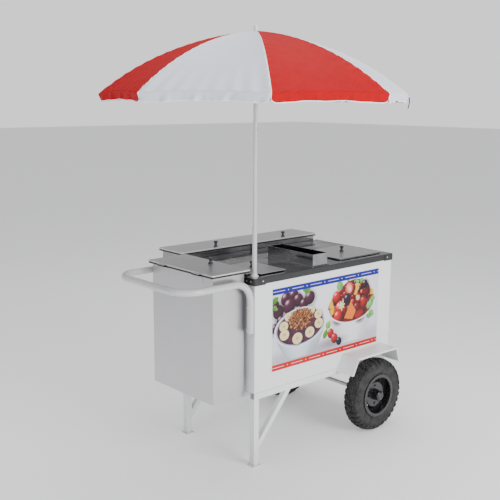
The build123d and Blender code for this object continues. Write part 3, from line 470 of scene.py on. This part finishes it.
def canopy_piece(k):
    """The cloth on rib k, out to the middle of the gore on each side, as one closed thin sheet."""
    across, along = canopy_lines()
    side, down = np.meshgrid(across + k, along)
    outer = canopy_point(side, down)
    e = 1e-3
    d_side = canopy_point(side + e, down) - canopy_point(side - e, down)
    inside = np.where(((down >= 0.5) & (down < 1)) | (down > 1.99), down - e, down)   # clear of the folds
    d_down = canopy_point(side, inside + e) - canopy_point(side, inside)
    normal = np.cross(d_side, d_down)
    normal /= np.linalg.norm(normal, axis=-1, keepdims=True)
    radial = (outer[..., 0] - AXIS_X) * normal[..., 0] + (outer[..., 1] - AXIS_Y) * normal[..., 1]
    up = np.where(down < 1, normal[..., 2], radial)
    normal = np.where(up[..., None] < 0, -normal, normal)
    seam, hem = np.abs(across) < SEAM, along > HEM
    taped = seam[None, :] | hem[:, None]
    outer = outer + normal * np.where(taped, PIPING, 0.0)[..., None]
    inner = outer - normal * CLOTH
    rows, columns = outer.shape[:2]
    count = rows * columns
    points = np.concatenate([outer.reshape(-1, 3), inner.reshape(-1, 3)])
    normals = np.concatenate([normal.reshape(-1, 3), -normal.reshape(-1, 3)])
    faces = [face[::-1] for face in grid_faces(rows, columns)]
    looks = []
    for i in range(rows - 1):
        for j in range(columns - 1):
            gore = k if across[j] + across[j + 1] > 0 else k - 1       # even gores are white
            tape = (seam[j] and seam[j + 1]) or hem[i]
            looks.append(TAPE if tape else (RED_OUT if gore % 2 == 1 else WHITE_OUT))
    back = [tuple(i + count for i in face[::-1]) for face in faces]
    # the underside takes the darker inside looks, painted shade
    back_looks = [RED_IN_SHADED if look == RED_OUT else WHITE_IN_SHADED for look in looks]
    ring = ([(0, j) for j in range(columns)] + [(i, columns - 1) for i in range(1, rows)]
            + [(rows - 1, j) for j in range(columns - 2, -1, -1)]
            + [(i, 0) for i in range(rows - 2, 0, -1)])
    edge = []
    for n, (i, j) in enumerate(ring):
        p, q = ring[(n + 1) % len(ring)]
        a, b = i * columns + j, p * columns + q
        edge.append((a, b, b + count, a + count))
    return mesh_piece(f"canopy_cloth_{k + 1}", points, faces + back + edge, CANOPY_LOOKS,
                      looks + back_looks + [TAPE] * len(edge), True, normals)


def add_canopy():
    """Eight pieces of cloth, one on each rib. Each folds with its rib."""
    for k in range(RIBS):
        piece = canopy_piece(k)
        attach(piece, f"rib_{k + 1}")
        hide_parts("canopy")
        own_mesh(piece)


# ---- tie strap ------------------------------------------------------------------------------
def add_tie_strap():
    """A short webbing tie that hangs from the last rib's tip."""
    azimuth = FIRST_RIB + (RIBS - 1) * 2 * HALF_GORE
    out = np.array([math.cos(azimuth), math.sin(azimuth), 0])
    side = np.array([-math.sin(azimuth), math.cos(azimuth), 0])
    top = np.array([AXIS_X, AXIS_Y, EDGE_Z - 0.010]) + out * (CANOPY_R - 0.006)
    points, rows, width, thick, length = [], 14, 0.012, 0.0012, 0.050
    for n in range(rows):
        s = n / (rows - 1)
        sway = out * (0.006 + 0.004 * math.sin(s * 4))
        centre = top + sway + side * 0.006 * math.sin(s * 3.1) + np.array([0, 0, -length * s])
        for offset, layer in ((-1, 0), (1, 0), (1, 1), (-1, 1)):
            points.append(centre + side * offset * width / 2 + out * layer * thick)
    faces = grid_faces(rows, 4, closed=True)
    faces += [(3, 2, 1, 0), tuple(4 * (rows - 1) + i for i in range(4))]
    strap = mesh_piece("tie_strap", points, faces, ["strap"], smooth=False)
    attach(strap, f"rib_{RIBS}")


# ---- tyres ----------------------------------------------------------------------------------
TYRE_LOW, TYRE_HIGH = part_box("near_tyre")
TYRE_R = (TYRE_HIGH.z - TYRE_LOW.z) / 2
TYRE_HALF = (TYRE_HIGH.y - TYRE_LOW.y) / 2
TREAD = 0.0065                         # height of the knobs
BEAD_R, BEAD_HALF = 0.0985, 0.033
PITCHES, HAIRS, HAIR_R = 34, 46, 0.0007    # tread pitches, moulding hairs in a row, a hair's root
# Each knob row: place across the tyre, half width, half length as a share of the pitch, skew.
KNOB_ROWS = [(0.0, 0.060, 0.30, 0.010), (0.155, 0.055, 0.26, 0.016), (-0.155, 0.055, 0.26, -0.016),
             (0.31, 0.060, 0.27, 0.020), (-0.31, 0.060, 0.27, -0.020), (0.465, 0.055, 0.30, 0.0),
             (-0.465, 0.055, 0.30, 0.0)]


def tyre_section(u):
    """Casing outline, u from -1 at one bead over the tread to 1 at the other: (radius, offset)."""
    shoulder_r, shoulder_y = TYRE_R - 0.017, TYRE_HALF - 0.008
    a = abs(u)
    if a < 0.45:                                          # crown of the tread
        s = a / 0.45
        r, y = TYRE_R - TREAD - 0.0105 * s ** 2, shoulder_y * s
    else:                                                 # sidewall down to the bead
        s = (a - 0.45) / 0.55
        r = shoulder_r + (BEAD_R - shoulder_r) * s
        bulge = math.sin(math.pi * min(1.0, s * 1.02)) * 0.0085
        y = shoulder_y + (BEAD_HALF - shoulder_y) * s + bulge
        for place, height, width in ((0.30, 0.0008, 0.02), (0.62, 0.0010, 0.025), (0.86, 0.0014, 0.03)):
            y += height * math.exp(-((s - place) / width) ** 2)
    return r, math.copysign(min(y, TYRE_HALF), u)


def on_tyre(centre, angle, u, height):
    """A point on the tyre, height above its casing."""
    r, y = tyre_section(u)
    r2, y2 = tyre_section(u + 0.01 if u < 0.98 else u - 0.01)
    tangent = np.array([r2 - r, y2 - y]) * (1 if u < 0.98 else -1)
    normal = np.array([tangent[1], -tangent[0]]) / np.linalg.norm(tangent)
    r, y = r + normal[0] * height, y + normal[1] * height
    return (centre[0] + r * math.cos(angle), centre[1] + y, centre[2] + r * math.sin(angle))


def tread_knob(centre, angle, u, du, arc, skew, height):
    """One moulded knob: a chamfered block laid on the casing."""
    points = []
    for level, shrink in ((-0.001, 1.06), (height * 0.8, 0.97), (height, 0.80)):
        for i, j in ((-1, -1), (0, -1), (1, -1), (1, 1), (0, 1), (-1, 1)):
            across, around = i * du * shrink, j * arc * shrink + skew * i
            points.append(on_tyre(centre, angle + around, u + across, level))
    faces = []
    for ring in range(2):
        for j in range(6):
            k = (j + 1) % 6
            faces.append((ring * 6 + j, ring * 6 + k, ring * 6 + 6 + k, ring * 6 + 6 + j))
    faces += [(12, 13, 16, 17), (13, 14, 15, 16)]
    return points, faces


def add_tyre(side, centre):
    """A tyre casing with knobs on its tread and hairs on its shoulders."""
    around, section = 144, 61
    points = []
    for n in range(around):
        angle = 2 * math.pi * n / around
        for m in range(section):
            points.append(on_tyre(centre, angle, -1 + 2 * m / (section - 1), 0.0))
    faces = grid_faces(around, section)
    last = (around - 1) * section
    faces += [(last + m, last + m + 1, m + 1, m) for m in range(section - 1)]
    pitch = 2 * math.pi / PITCHES
    for n in range(PITCHES):
        for row, (u, du, share, skew) in enumerate(KNOB_ROWS):
            shift = (row % 2) * 0.5
            height = TREAD if abs(u) < 0.4 else TREAD * 0.75
            knob, knob_faces = tread_knob(centre, (n + shift) * pitch, u, du, pitch * share, skew, height)
            start = len(points)
            points += knob
            faces += [tuple(start + i for i in f) for f in knob_faces]
    outside = -1 if side == "near" else 1
    for u in (0.42, 0.49, 0.57, -0.42, -0.49, -0.57):     # moulding hairs left on the shoulders
        reach = 1.0 if u * outside > 0 else 0.5           # short on the side that faces the cart
        for n in range(HAIRS):
            angle = 2 * math.pi * (n + RNG.uniform(-0.4, 0.4)) / HAIRS
            base = np.array(on_tyre(centre, angle, u, 0.0))
            lean, length = RNG.uniform(-0.02, 0.02), RNG.uniform(0.006, 0.0105) * reach
            tip = np.array(on_tyre(centre, angle + lean, u, length))
            ring = [base + np.array([math.cos(t), 0, math.sin(t)]) * HAIR_R for t in (0, 2.1, 4.2)]
            start = len(points)
            points += [tuple(p) for p in ring] + [tuple(tip)]
            faces += [(start, start + 1, start + 3), (start + 1, start + 2, start + 3),
                      (start + 2, start, start + 3), (start + 2, start + 1, start)]
    tyre = mesh_piece(f"{side}_tyre_rubber", points, faces, ["tyre"])
    tyre.data.polygons.foreach_set("use_smooth", [len(p.vertices) == 4 and p.index < around * section
                                                  for p in tyre.data.polygons])
    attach(tyre, f"{side}_wheel")
    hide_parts(f"{side}_tyre")


def turned(name, profile, place, along, look, sides=48):
    """A piece turned about a line through place; profile is a closed list of (radius, offset)."""
    along = Vector(along).normalized()
    u = along.orthogonal().normalized()
    v = along.cross(u)
    spokes = [u * math.cos(2 * math.pi * n / sides) + v * math.sin(2 * math.pi * n / sides)
              for n in range(sides)]
    points = [Vector(place) + along * h + spoke * r for spoke in spokes for r, h in profile]
    count = len(profile)
    faces = [(a, d, c, b) for a, b, c, d in grid_faces(sides, count, closed=True)]
    last = (sides - 1) * count
    faces += [(last + m, m, (m + 1) % count, last + (m + 1) % count) for m in range(count)]
    return mesh_piece(name, points, faces, [look])


def add_hub_cap(side, hub_face, out):
    """A pressed dust cap over the axle's nut, standing on the hub's outer end."""
    profile = [(0.0245, 0.0), (0.0255, 0.0), (0.0260, 0.004), (0.0250, 0.0150), (0.0225, 0.0195),
               (0.0150, 0.0220), (0.0008, 0.0226), (0.0008, 0.0214), (0.0145, 0.0208), (0.0215, 0.0186),
               (0.0238, 0.0145), (0.0245, 0.004)]
    cap = turned(f"{side}_hub_cap", profile, hub_face, (0, out, 0), "black_paint")
    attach(cap, f"{side}_wheel")


def add_handle_plugs():
    """Black plastic plugs in the two open ends of the handle tube."""
    low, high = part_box("push_handle")
    bore, tube = 0.0138, 0.016
    profile = [(0.0006, -0.0016), (tube * 0.75, -0.0012), (tube - 0.0006, -0.0002),
               (tube - 0.0004, 0.0), (bore, 0.0), (bore, 0.011), (0.0006, 0.011)]
    for name, y in (("near", low.y + tube), ("far", high.y - tube)):
        place = (high.x - tube, y, low.z)
        plug = turned(f"{name}_handle_plug", profile, place, (0, 0, 1), "black_plastic", 32)
        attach(plug, "cart")


# ---- printed board --------------------------------------------------------------------------
class Picture:
    """A small painter that works on a grid of points, in millimetres from the lower left corner."""

    def __init__(self, width, height, step):
        self.width, self.height = width, height
        self.u = np.linspace(0, width, int(width / step) + 1)
        self.v = np.linspace(0, height, int(height / step) + 1)
        self.U, self.V = np.meshgrid(self.u, self.v)
        self.soft = step * 0.9
        self.ink = np.empty(self.U.shape + (3,))

    def lay(self, inside, colour):
        """Paint colour where inside, a distance in mm, is above zero, with a soft edge."""
        cover = np.clip(inside / self.soft + 0.5, 0, 1)[..., None]
        self.ink = self.ink * (1 - cover) + np.asarray(colour) * cover

    def shade(self, inside, reach, strength):
        """Darken softly within reach of a shape."""
        cover = np.clip(1 + inside / reach, 0, 1) * strength
        self.ink = self.ink * (1 - cover[..., None])

    def local(self, u, v, angle=0.0):
        """The grid's points as seen from (u, v), turned by angle."""
        c, s = math.cos(angle), math.sin(angle)
        x, y = self.U - u, self.V - v
        return x * c + y * s, -x * s + y * c

    def ball(self, u, v, r, colour, stretch=1.0, angle=0.0, gloss=0.6, grain=None):
        """A lit round fruit; grain(x, y) gives its skin from -1 to 1 each way."""
        x, y = self.local(u, v, angle)
        x, y = x / (r * stretch), y / r
        d = np.sqrt(x ** 2 + y ** 2)
        z = np.sqrt(np.clip(1 - d ** 2, 0, 1))
        c, s = math.cos(angle), math.sin(angle)
        gx, gy = x * c - y * s, x * s + y * c
        light = np.clip(-0.42 * gx + 0.58 * gy + 0.70 * z, 0, 1)
        tone = np.asarray(colour) * (0.30 + 0.85 * light)[..., None]
        if grain is not None:
            tone = tone * grain(x, y)[..., None]
        tone = tone + gloss * (light ** 26)[..., None]
        self.lay((1 - d) * r, np.clip(tone, 0, 1))

    def leaf(self, u, v, length, width, angle, colour):
        """A pointed leaf with side veins, from its stalk at (u, v)."""
        x, y = self.local(u, v, angle)
        t = np.clip(x / length, 0, 1)
        half = width * np.sin(math.pi * t ** 0.8)
        tone = np.asarray(colour) * (0.75 + 0.35 * t + 0.20 * (y > 0))[..., None]
        vein = np.abs((x - np.abs(y) * 1.2) % (length / 6) - length / 12) < 0.5
        rib = (np.abs(y) < width * 0.07) | vein
        tone = tone * np.where(rib, 1.25, 1.0)[..., None]
        self.lay(np.where((x > 0) & (x < length), half - np.abs(y), -9.0), np.clip(tone, 0, 1))

    def wedge(self, corners, colour):
        """A convex polygon, corners anticlockwise, with a lighter rind edge."""
        inside = np.full(self.U.shape, 1e9)
        for (ax, ay), (bx, by) in zip(corners, corners[1:] + corners[:1]):
            n = math.hypot(bx - ax, by - ay)
            inside = np.minimum(inside, ((bx - ax) * (self.V - ay) - (by - ay) * (self.U - ax)) / n)
        tone = np.asarray(colour) * (0.82 + 0.3 * np.sin(self.U * 0.35 + self.V * 0.22) ** 2)[..., None]
        self.lay(inside, np.clip(tone * np.where(inside < 2.2, 1.25, 1.0)[..., None], 0, 1))

    def ellipse(self, u, v, a, b, angle=0.0):
        """Distance inside an ellipse, roughly in mm."""
        x, y = self.local(u, v, angle)
        return (1 - np.sqrt((x / a) ** 2 + (y / b) ** 2)) * min(a, b)


def berry_grain(x, y):
    """Drupelets of a raspberry."""
    return 0.72 + 0.38 * np.abs(np.sin(x * 9) * np.sin(y * 9 + x * 3))


def seed_grain(x, y):
    """Pale seeds on a strawberry."""
    return 1 + 0.9 * (np.sin(x * 15 + y * 5) * np.sin(y * 14) > 0.86)


RED, DEEP_RED, BLUE = (0.62, 0.004, 0.008), (0.34, 0.002, 0.010), (0.002, 0.010, 0.33)
GREEN, DARK_BERRY, NAVY = (0.10, 0.30, 0.02), (0.055, 0.004, 0.030), (0.012, 0.012, 0.050)
CREAM, ORANGE, YELLOW = (0.84, 0.72, 0.46), (0.86, 0.24, 0.015), (0.88, 0.50, 0.03)
PAPER, CEREALS = (0.92, 0.92, 0.94), ((0.52, 0.19, 0.045), (0.30, 0.085, 0.02), (0.66, 0.33, 0.10))
BOARD_STEP, INK_GAMMA = 1.35, 1.25     # the picture's grid in mm, and a power that deepens its colours


def paint_bands(pic):
    """A blue band along the top and a red one below, with plain dashes and dots in place of words."""
    band = 29.0
    for low, colour in ((pic.height - band, BLUE), (0.0, RED)):
        inside = np.minimum(pic.V - low, low + band - pic.V)
        pic.lay(inside, colour)
        pitch = pic.width / 6.2
        for n in range(7):
            start = 8 + n * pitch
            dash = np.minimum(np.minimum(pic.U - start, start + pitch * 0.62 - pic.U),
                              1.1 - np.abs(pic.V - low - band / 2))
            pic.lay(dash, PAPER)
            dot = 2.6 - np.hypot(pic.U - start - pitch * 0.80, pic.V - low - band / 2)
            pic.lay(dot, PAPER)
    edge = np.minimum(pic.U, pic.width - pic.U)
    pic.lay(5.0 - edge, (0.88, 0.89, 0.90))


def paint_left_bowl(pic, rng):
    """Dark berries behind a white bowl of purple cream, banana slices and toasted cereal."""
    for u, v, r in ((44, 281, 33), (20, 315, 26), (92, 335, 32), (140, 345, 30), (60, 236, 26),
                    (171, 318, 32), (114, 298, 37), (210, 293, 28), (250, 318, 33), (22, 205, 24)):
        pic.shade(pic.ellipse(u + 3, v - 4, r + 6, r + 6), 14, 0.35)
        pic.ball(u, v, r, (0.11, 0.014, 0.055), stretch=1.08, angle=0.5, gloss=0.5)
    for n in range(12):
        pic.leaf(212 + n * 1.5, 338, 46 + 9 * (n % 3), 4.5, 0.25 + n * 0.19, (0.13, 0.34, 0.05))
    pic.leaf(2, 330, 50, 14, 0.5, GREEN)
    pic.leaf(4, 312, 40, 12, -0.5, (0.12, 0.32, 0.05))
    pic.shade(pic.ellipse(205, 42, 150, 26), 40, 0.30)
    t = np.clip((190 - pic.V) / 150, 0, 1)                # the bowl narrows towards its foot
    left, right = 20 + 88 * t ** 1.7, 360 - 78 * t ** 1.7
    body = np.minimum(np.minimum(pic.U - left, right - pic.U),
                      np.minimum(pic.V - 38, 190 - pic.V))
    across = (pic.U - left) / np.maximum(right - left, 1)
    glaze = (0.52 + 0.34 * np.sin(np.clip(across, 0, 1) * math.pi) ** 0.7
             - 0.10 * np.exp(-((across - 0.8) / 0.1) ** 2))
    glaze = glaze * (1 - 0.05 * (np.abs((190 - pic.V) % 26 - 13) < 1.2))
    pic.lay(body, np.stack([glaze * 0.86, glaze * 0.95, glaze * 1.0], -1))
    rim = pic.ellipse(190, 186, 172, 94, 0.03)
    pic.lay(rim, (0.80, 0.84, 0.90))
    pic.lay(rim - 5, (0.42, 0.46, 0.60))
    cream_top = rim - 10
    swirl = 0.85 + 0.22 * np.sin(pic.U * 0.07 + 3 * np.sin(pic.V * 0.045))
    pic.lay(cream_top, np.stack([0.115 * swirl, 0.022 * swirl, 0.075 * swirl], -1))
    for u, v, r in ((108, 248, 24), (262, 256, 24), (311, 228, 26), (79, 206, 28), (316, 182, 29),
                    (84, 164, 30), (254, 148, 31), (170, 132, 33)):
        pic.shade(pic.ellipse(u + 2, v - 4, r * 1.05, r * 0.86), 8, 0.45)
        pic.lay(pic.ellipse(u, v - 3, r, r * 0.82), (0.60, 0.44, 0.20))
        pic.lay(pic.ellipse(u, v, r, r * 0.82), CREAM)
        pic.lay(pic.ellipse(u, v, r * 0.72, r * 0.58), (0.82, 0.68, 0.40))
        pic.lay(pic.ellipse(u, v, r * 0.34, r * 0.22), (0.70, 0.50, 0.24))
        for k in range(3):
            a = 2 * math.pi * k / 3 + u
            seed = 1.1 - np.hypot(pic.U - u - 6 * math.cos(a), pic.V - v - 4 * math.sin(a))
            pic.lay(seed, (0.16, 0.08, 0.04))
    for _ in range(430):
        a, q = rng.uniform(0, 2 * math.pi), rng.uniform(0, 1) ** 0.6
        u, v = 192 + 84 * q * math.cos(a), 222 + 52 * q * math.sin(a) + 12 * (1 - q)
        tint = rng.uniform(0.35, 1.1)
        colour = CEREALS[int(rng.integers(0, 3))]
        pic.ball(u, v, rng.uniform(3.0, 6.0), tuple(c * tint for c in colour), stretch=1.3,
                 angle=rng.uniform(0, 3), gloss=0.25)


def paint_right_bowl(pic, rng):
    """A white bowl heaped with cut fruit, and three berries beside its foot."""
    pic.shade(pic.ellipse(560, 52, 170, 24), 40, 0.20)
    t = np.clip((235 - pic.V) / 190, 0, 1)
    left, right = 382 + 96 * t ** 1.5, 728 - 84 * t ** 1.5
    body = np.minimum(np.minimum(pic.U - left, right - pic.U),
                      np.minimum(pic.V - 44, 245 - pic.V))
    across = np.clip((pic.U - left) / np.maximum(right - left, 1), 0, 1)
    glaze = (0.66 + 0.22 * np.sin(across * math.pi) ** 0.6
             - 0.08 * np.exp(-((across - 0.85) / 0.08) ** 2))
    pic.lay(body, np.stack([glaze * 0.97, glaze * 0.96, glaze * 1.02], -1))
    fruit_bed = pic.ellipse(556, 236, 176, 90)
    pic.lay(fruit_bed, (0.20, 0.012, 0.016))
    pic.lay(pic.ellipse(572, 290, 120, 72), (0.22, 0.012, 0.016))
    for u, v, length, width, angle in ((470, 318, 60, 24, 1.9), (566, 330, 46, 20, 0.5),
                                       (700, 190, 78, 24, 1.25), (665, 168, 60, 22, -0.3),
                                       (520, 352, 30, 10, 1.3), (610, 345, 36, 14, 0.2)):
        pic.leaf(u, v, length, width, angle, (0.20, 0.46, 0.14))
    for _ in range(90):
        a, q = rng.uniform(0, 2 * math.pi), math.sqrt(rng.uniform(0, 1))
        u, v = 566 + 150 * q * math.cos(a), 256 + 88 * q * math.sin(a)
        colour = (RED, DEEP_RED, RED, ORANGE, DARK_BERRY)[int(rng.integers(0, 5))]
        pic.ball(u, v, rng.uniform(8, 14), colour, gloss=0.7)
    for corners in (((384, 262), (392, 234), (418, 244), (408, 292)),
                    ((566, 286), (588, 276), (606, 332), (590, 340)),
                    ((690, 268), (722, 262), (716, 292), (694, 296)),
                    ((392, 226), (404, 200), (432, 214), (420, 246))):
        pic.wedge(list(corners), YELLOW)
    for u, v, r, grain, colour in ((441, 289, 30, seed_grain, RED), (470, 222, 46, seed_grain, RED),
                                   (452, 186, 34, seed_grain, RED), (613, 176, 38, berry_grain, RED),
                                   (534, 318, 34, seed_grain, (0.86, 0.10, 0.09)),
                                   (641, 233, 33, berry_grain, RED),
                                   (660, 292, 29, berry_grain, DEEP_RED), (600, 258, 24, None, RED),
                                   (517, 268, 25, None, NAVY), (651, 326, 23, None, DARK_BERRY),
                                   (590, 214, 26, berry_grain, DEEP_RED), (560, 246, 17, None, RED)):
        pic.shade(pic.ellipse(u + 3, v - 4, r + 4, r + 4), 9, 0.5)
        pic.ball(u, v, r, colour, stretch=0.92, gloss=0.55, grain=grain)
    pic.lay(pic.ellipse(534, 320, 20, 24, 0.4), (0.88, 0.32, 0.26))
    pic.lay(pic.ellipse(534, 320, 9, 14, 0.4), (0.92, 0.62, 0.52))
    pic.wedge([(500, 172), (560, 158), (586, 196), (546, 252)], ORANGE)
    for n in range(7):
        pic.leaf(478, 242, 26 + 6 * (n % 2), 5, 0.2 + n * 0.9, (0.62, 0.74, 0.42))
        pic.leaf(600, 262, 16, 4, n * 0.9, (0.55, 0.68, 0.36))
    lip = pic.ellipse(556, 236, 182, 96)                  # the bowl's front edge, over the fruit
    front = np.minimum(np.minimum(lip, 7.0 - lip), 232 - pic.V)
    pic.lay(front, (0.84, 0.84, 0.89))
    pic.leaf(676, 190, 56, 19, 1.0, (0.24, 0.50, 0.18))
    pic.leaf(690, 176, 46, 18, -0.55, (0.20, 0.46, 0.14))
    pic.shade(pic.ellipse(432, 66, 56, 14), 16, 0.3)
    for u, v, r, colour in ((402, 112, 26, RED), (430, 82, 27, RED), (464, 60, 22, NAVY)):
        grain = berry_grain if colour == RED else None
        pic.ball(u, v, r, colour, stretch=0.9, angle=0.4, gloss=0.35, grain=grain)
    pic.leaf(352, 92, 56, 15, 1.1, GREEN)
    pic.leaf(372, 140, 46, 19, 1.0, (0.22, 0.50, 0.08))


def add_board():
    """The printed board: a thin sheet with a generic fruit picture and no lettering."""
    low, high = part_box("graphic_panel")
    width, height = (high.x - low.x) / MM, (high.z - low.z) / MM
    pic = Picture(width, height, BOARD_STEP)
    rng = np.random.default_rng(11)
    glow = 0.74 + 0.10 * np.sin(pic.U / pic.width * 2.6 + 0.3) + 0.05 * pic.V / pic.height
    pic.ink[:] = np.stack([glow * 0.97, glow * 0.96, glow * 1.06], -1)
    paint_left_bowl(pic, rng)
    paint_right_bowl(pic, rng)
    paint_bands(pic)
    rows, columns = pic.U.shape
    x, z = low.x + pic.U * MM, low.z + pic.V * MM
    front = np.stack([x, np.full_like(x, low.y - 0.0001), z], -1).reshape(-1, 3)
    count = len(front)
    corners = (front[0], front[columns - 1], front[-1], front[-columns])
    back = np.array([(p[0], high.y - 0.0001, p[2]) for p in corners])
    faces = grid_faces(rows, columns)
    bottom, top = list(range(columns)), list(range(count - columns, count))
    left, right = list(range(0, count, columns)), list(range(columns - 1, count, columns))
    b0, b1, b2, b3 = range(count, count + 4)
    faces += [tuple(bottom[::-1]) + (b0, b1), tuple(top) + (b2, b3), tuple(left) + (b3, b0),
              tuple(right[::-1]) + (b1, b2), (b0, b3, b2, b1)]
    board = mesh_piece("fruit_board", np.concatenate([front, back]), faces, ["graphic"], smooth=False)
    ink = board.data.color_attributes.new("ink", "FLOAT_COLOR", "POINT")
    colours = np.ones((count + 4, 4))
    colours[:count, :3] = np.clip(pic.ink, 0, 1).reshape(-1, 3) ** INK_GAMMA
    colours[count:, :3] = 0.85
    ink.data.foreach_set("color", colours.astype(np.float32).ravel())
    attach(board, "cart")
    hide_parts("graphic_panel")


# ---- stage ----------------------------------------------------------------------------------
def add_floor():
    """A wide pale floor that glows a little, so that it stays pale under the cart."""
    reach = 40.0
    look = Look("floor", (0.86, 0.86, 0.87), 0.6, Emission_Color=(1.0, 1.0, 1.0, 1.0),
                Emission_Strength=0.28)
    LOOKS["floor"] = look.colour(look.mix(look.noise(3, 3), (0.85, 0.85, 0.86), (0.87, 0.87, 0.88))).mat
    corners = [(-reach, -reach, 0), (reach, -reach, 0), (reach, reach, 0), (-reach, reach, 0)]
    floor = mesh_piece("floor", corners, [(0, 1, 2, 3)], ["floor"], smooth=False)


def add_light(name, place, target, size, power, colour=(1, 1, 1)):
    """A square lamp that faces target; metres and watts."""
    data = bpy.data.lights.new(name, "AREA")
    data.shape, data.size, data.energy, data.color = "SQUARE", size, power, colour
    lamp = bpy.data.objects.new(name, data)
    lamp.location = place
    lamp.rotation_euler = (Vector(target) - Vector(place)).to_track_quat("-Z", "Y").to_euler()
    bpy.context.scene.collection.objects.link(lamp)


def add_lights():
    """Three soft lamps, and a room that is pale at eye level, dark above it and bright overhead."""
    add_light("key", (0.4, -4.2, 2.2), (0, 0, 0.8), 2.2, 190)
    add_light("fill", (-4.2, -0.8, 2.0), (0, 0, 0.9), 2.0, 36, (0.97, 0.98, 1.0))
    add_light("top", (0.2, 0.4, 4.8), (0, 0, 0.5), 3.0, 100)
    world = bpy.data.worlds.new("studio")
    bpy.context.scene.world = world
    world.use_nodes = True
    tree = world.node_tree
    background = tree.nodes["Background"]
    coords = tree.nodes.new("ShaderNodeTexCoord")
    split = tree.nodes.new("ShaderNodeSeparateXYZ")
    ramp = tree.nodes.new("ShaderNodeValToRGB")
    tree.links.new(coords.outputs["Generated"], split.inputs["Vector"])
    tree.links.new(split.outputs["Z"], ramp.inputs["Fac"])
    stops = ramp.color_ramp.elements
    stops[0].color = (1.0, 1.0, 1.0, 1)
    stops[1].color = (0.50, 0.51, 0.53, 1)
    for position, level in ((0.12, 1.0), (0.16, 0.45), (0.25, 0.10), (0.46, 0.05), (0.60, 0.80)):
        stops.new(position).color = (level, level, level * 1.01, 1)
    tree.links.new(ramp.outputs["Color"], background.inputs["Color"])
    background.inputs["Strength"].default_value = 1.15


CABINET_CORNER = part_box("side_panels")[0]                 # lowest near corner at the handle end
CAMERA_PLACE = Vector((CABINET_CORNER.x - 2.3904, CABINET_CORNER.y - 2.6514, 1.6963))
CAMERA_LENS, SENSOR = 58.9, 36.0                          # millimetres
YAW, PITCH, ROLL = 41.67, 10.55, 0.32                     # degrees


def add_camera():
    """The camera stands off the handle end's near corner, at about head height."""
    data = bpy.data.cameras.new("camera")
    data.lens, data.sensor_width = CAMERA_LENS, SENSOR
    yaw, pitch, roll = math.radians(YAW), math.radians(PITCH), math.radians(ROLL)
    forward = Vector((math.sin(yaw) * math.cos(pitch), math.cos(yaw) * math.cos(pitch),
                      -math.sin(pitch)))
    right = Vector((math.cos(yaw), -math.sin(yaw), 0))
    up = right.cross(forward)
    right, up = (right * math.cos(roll) + up * math.sin(roll),
                 up * math.cos(roll) - right * math.sin(roll))
    turn = Matrix((right, up, -forward)).transposed()
    camera = bpy.data.objects.new("camera", data)
    camera.matrix_world = Matrix.Translation(CAMERA_PLACE) @ turn.to_4x4()
    bpy.context.scene.collection.objects.link(camera)
    bpy.context.scene.camera = camera


HUB_END = 0.0352                                          # from the wheel's middle, with 0.2 mm of room

add_camera()
dress_cad_nodes()
add_canopy()
add_tie_strap()
for wheel in ("near", "far"):
    box_low, box_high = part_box(f"{wheel}_tyre")
    hub = (box_low + box_high) / 2
    add_tyre(wheel, tuple(hub))
    way = -1 if wheel == "near" else 1
    add_hub_cap(wheel, (hub.x, hub.y + way * HUB_END, hub.z), way)
add_handle_plugs()
add_board()
add_floor()
add_lights()
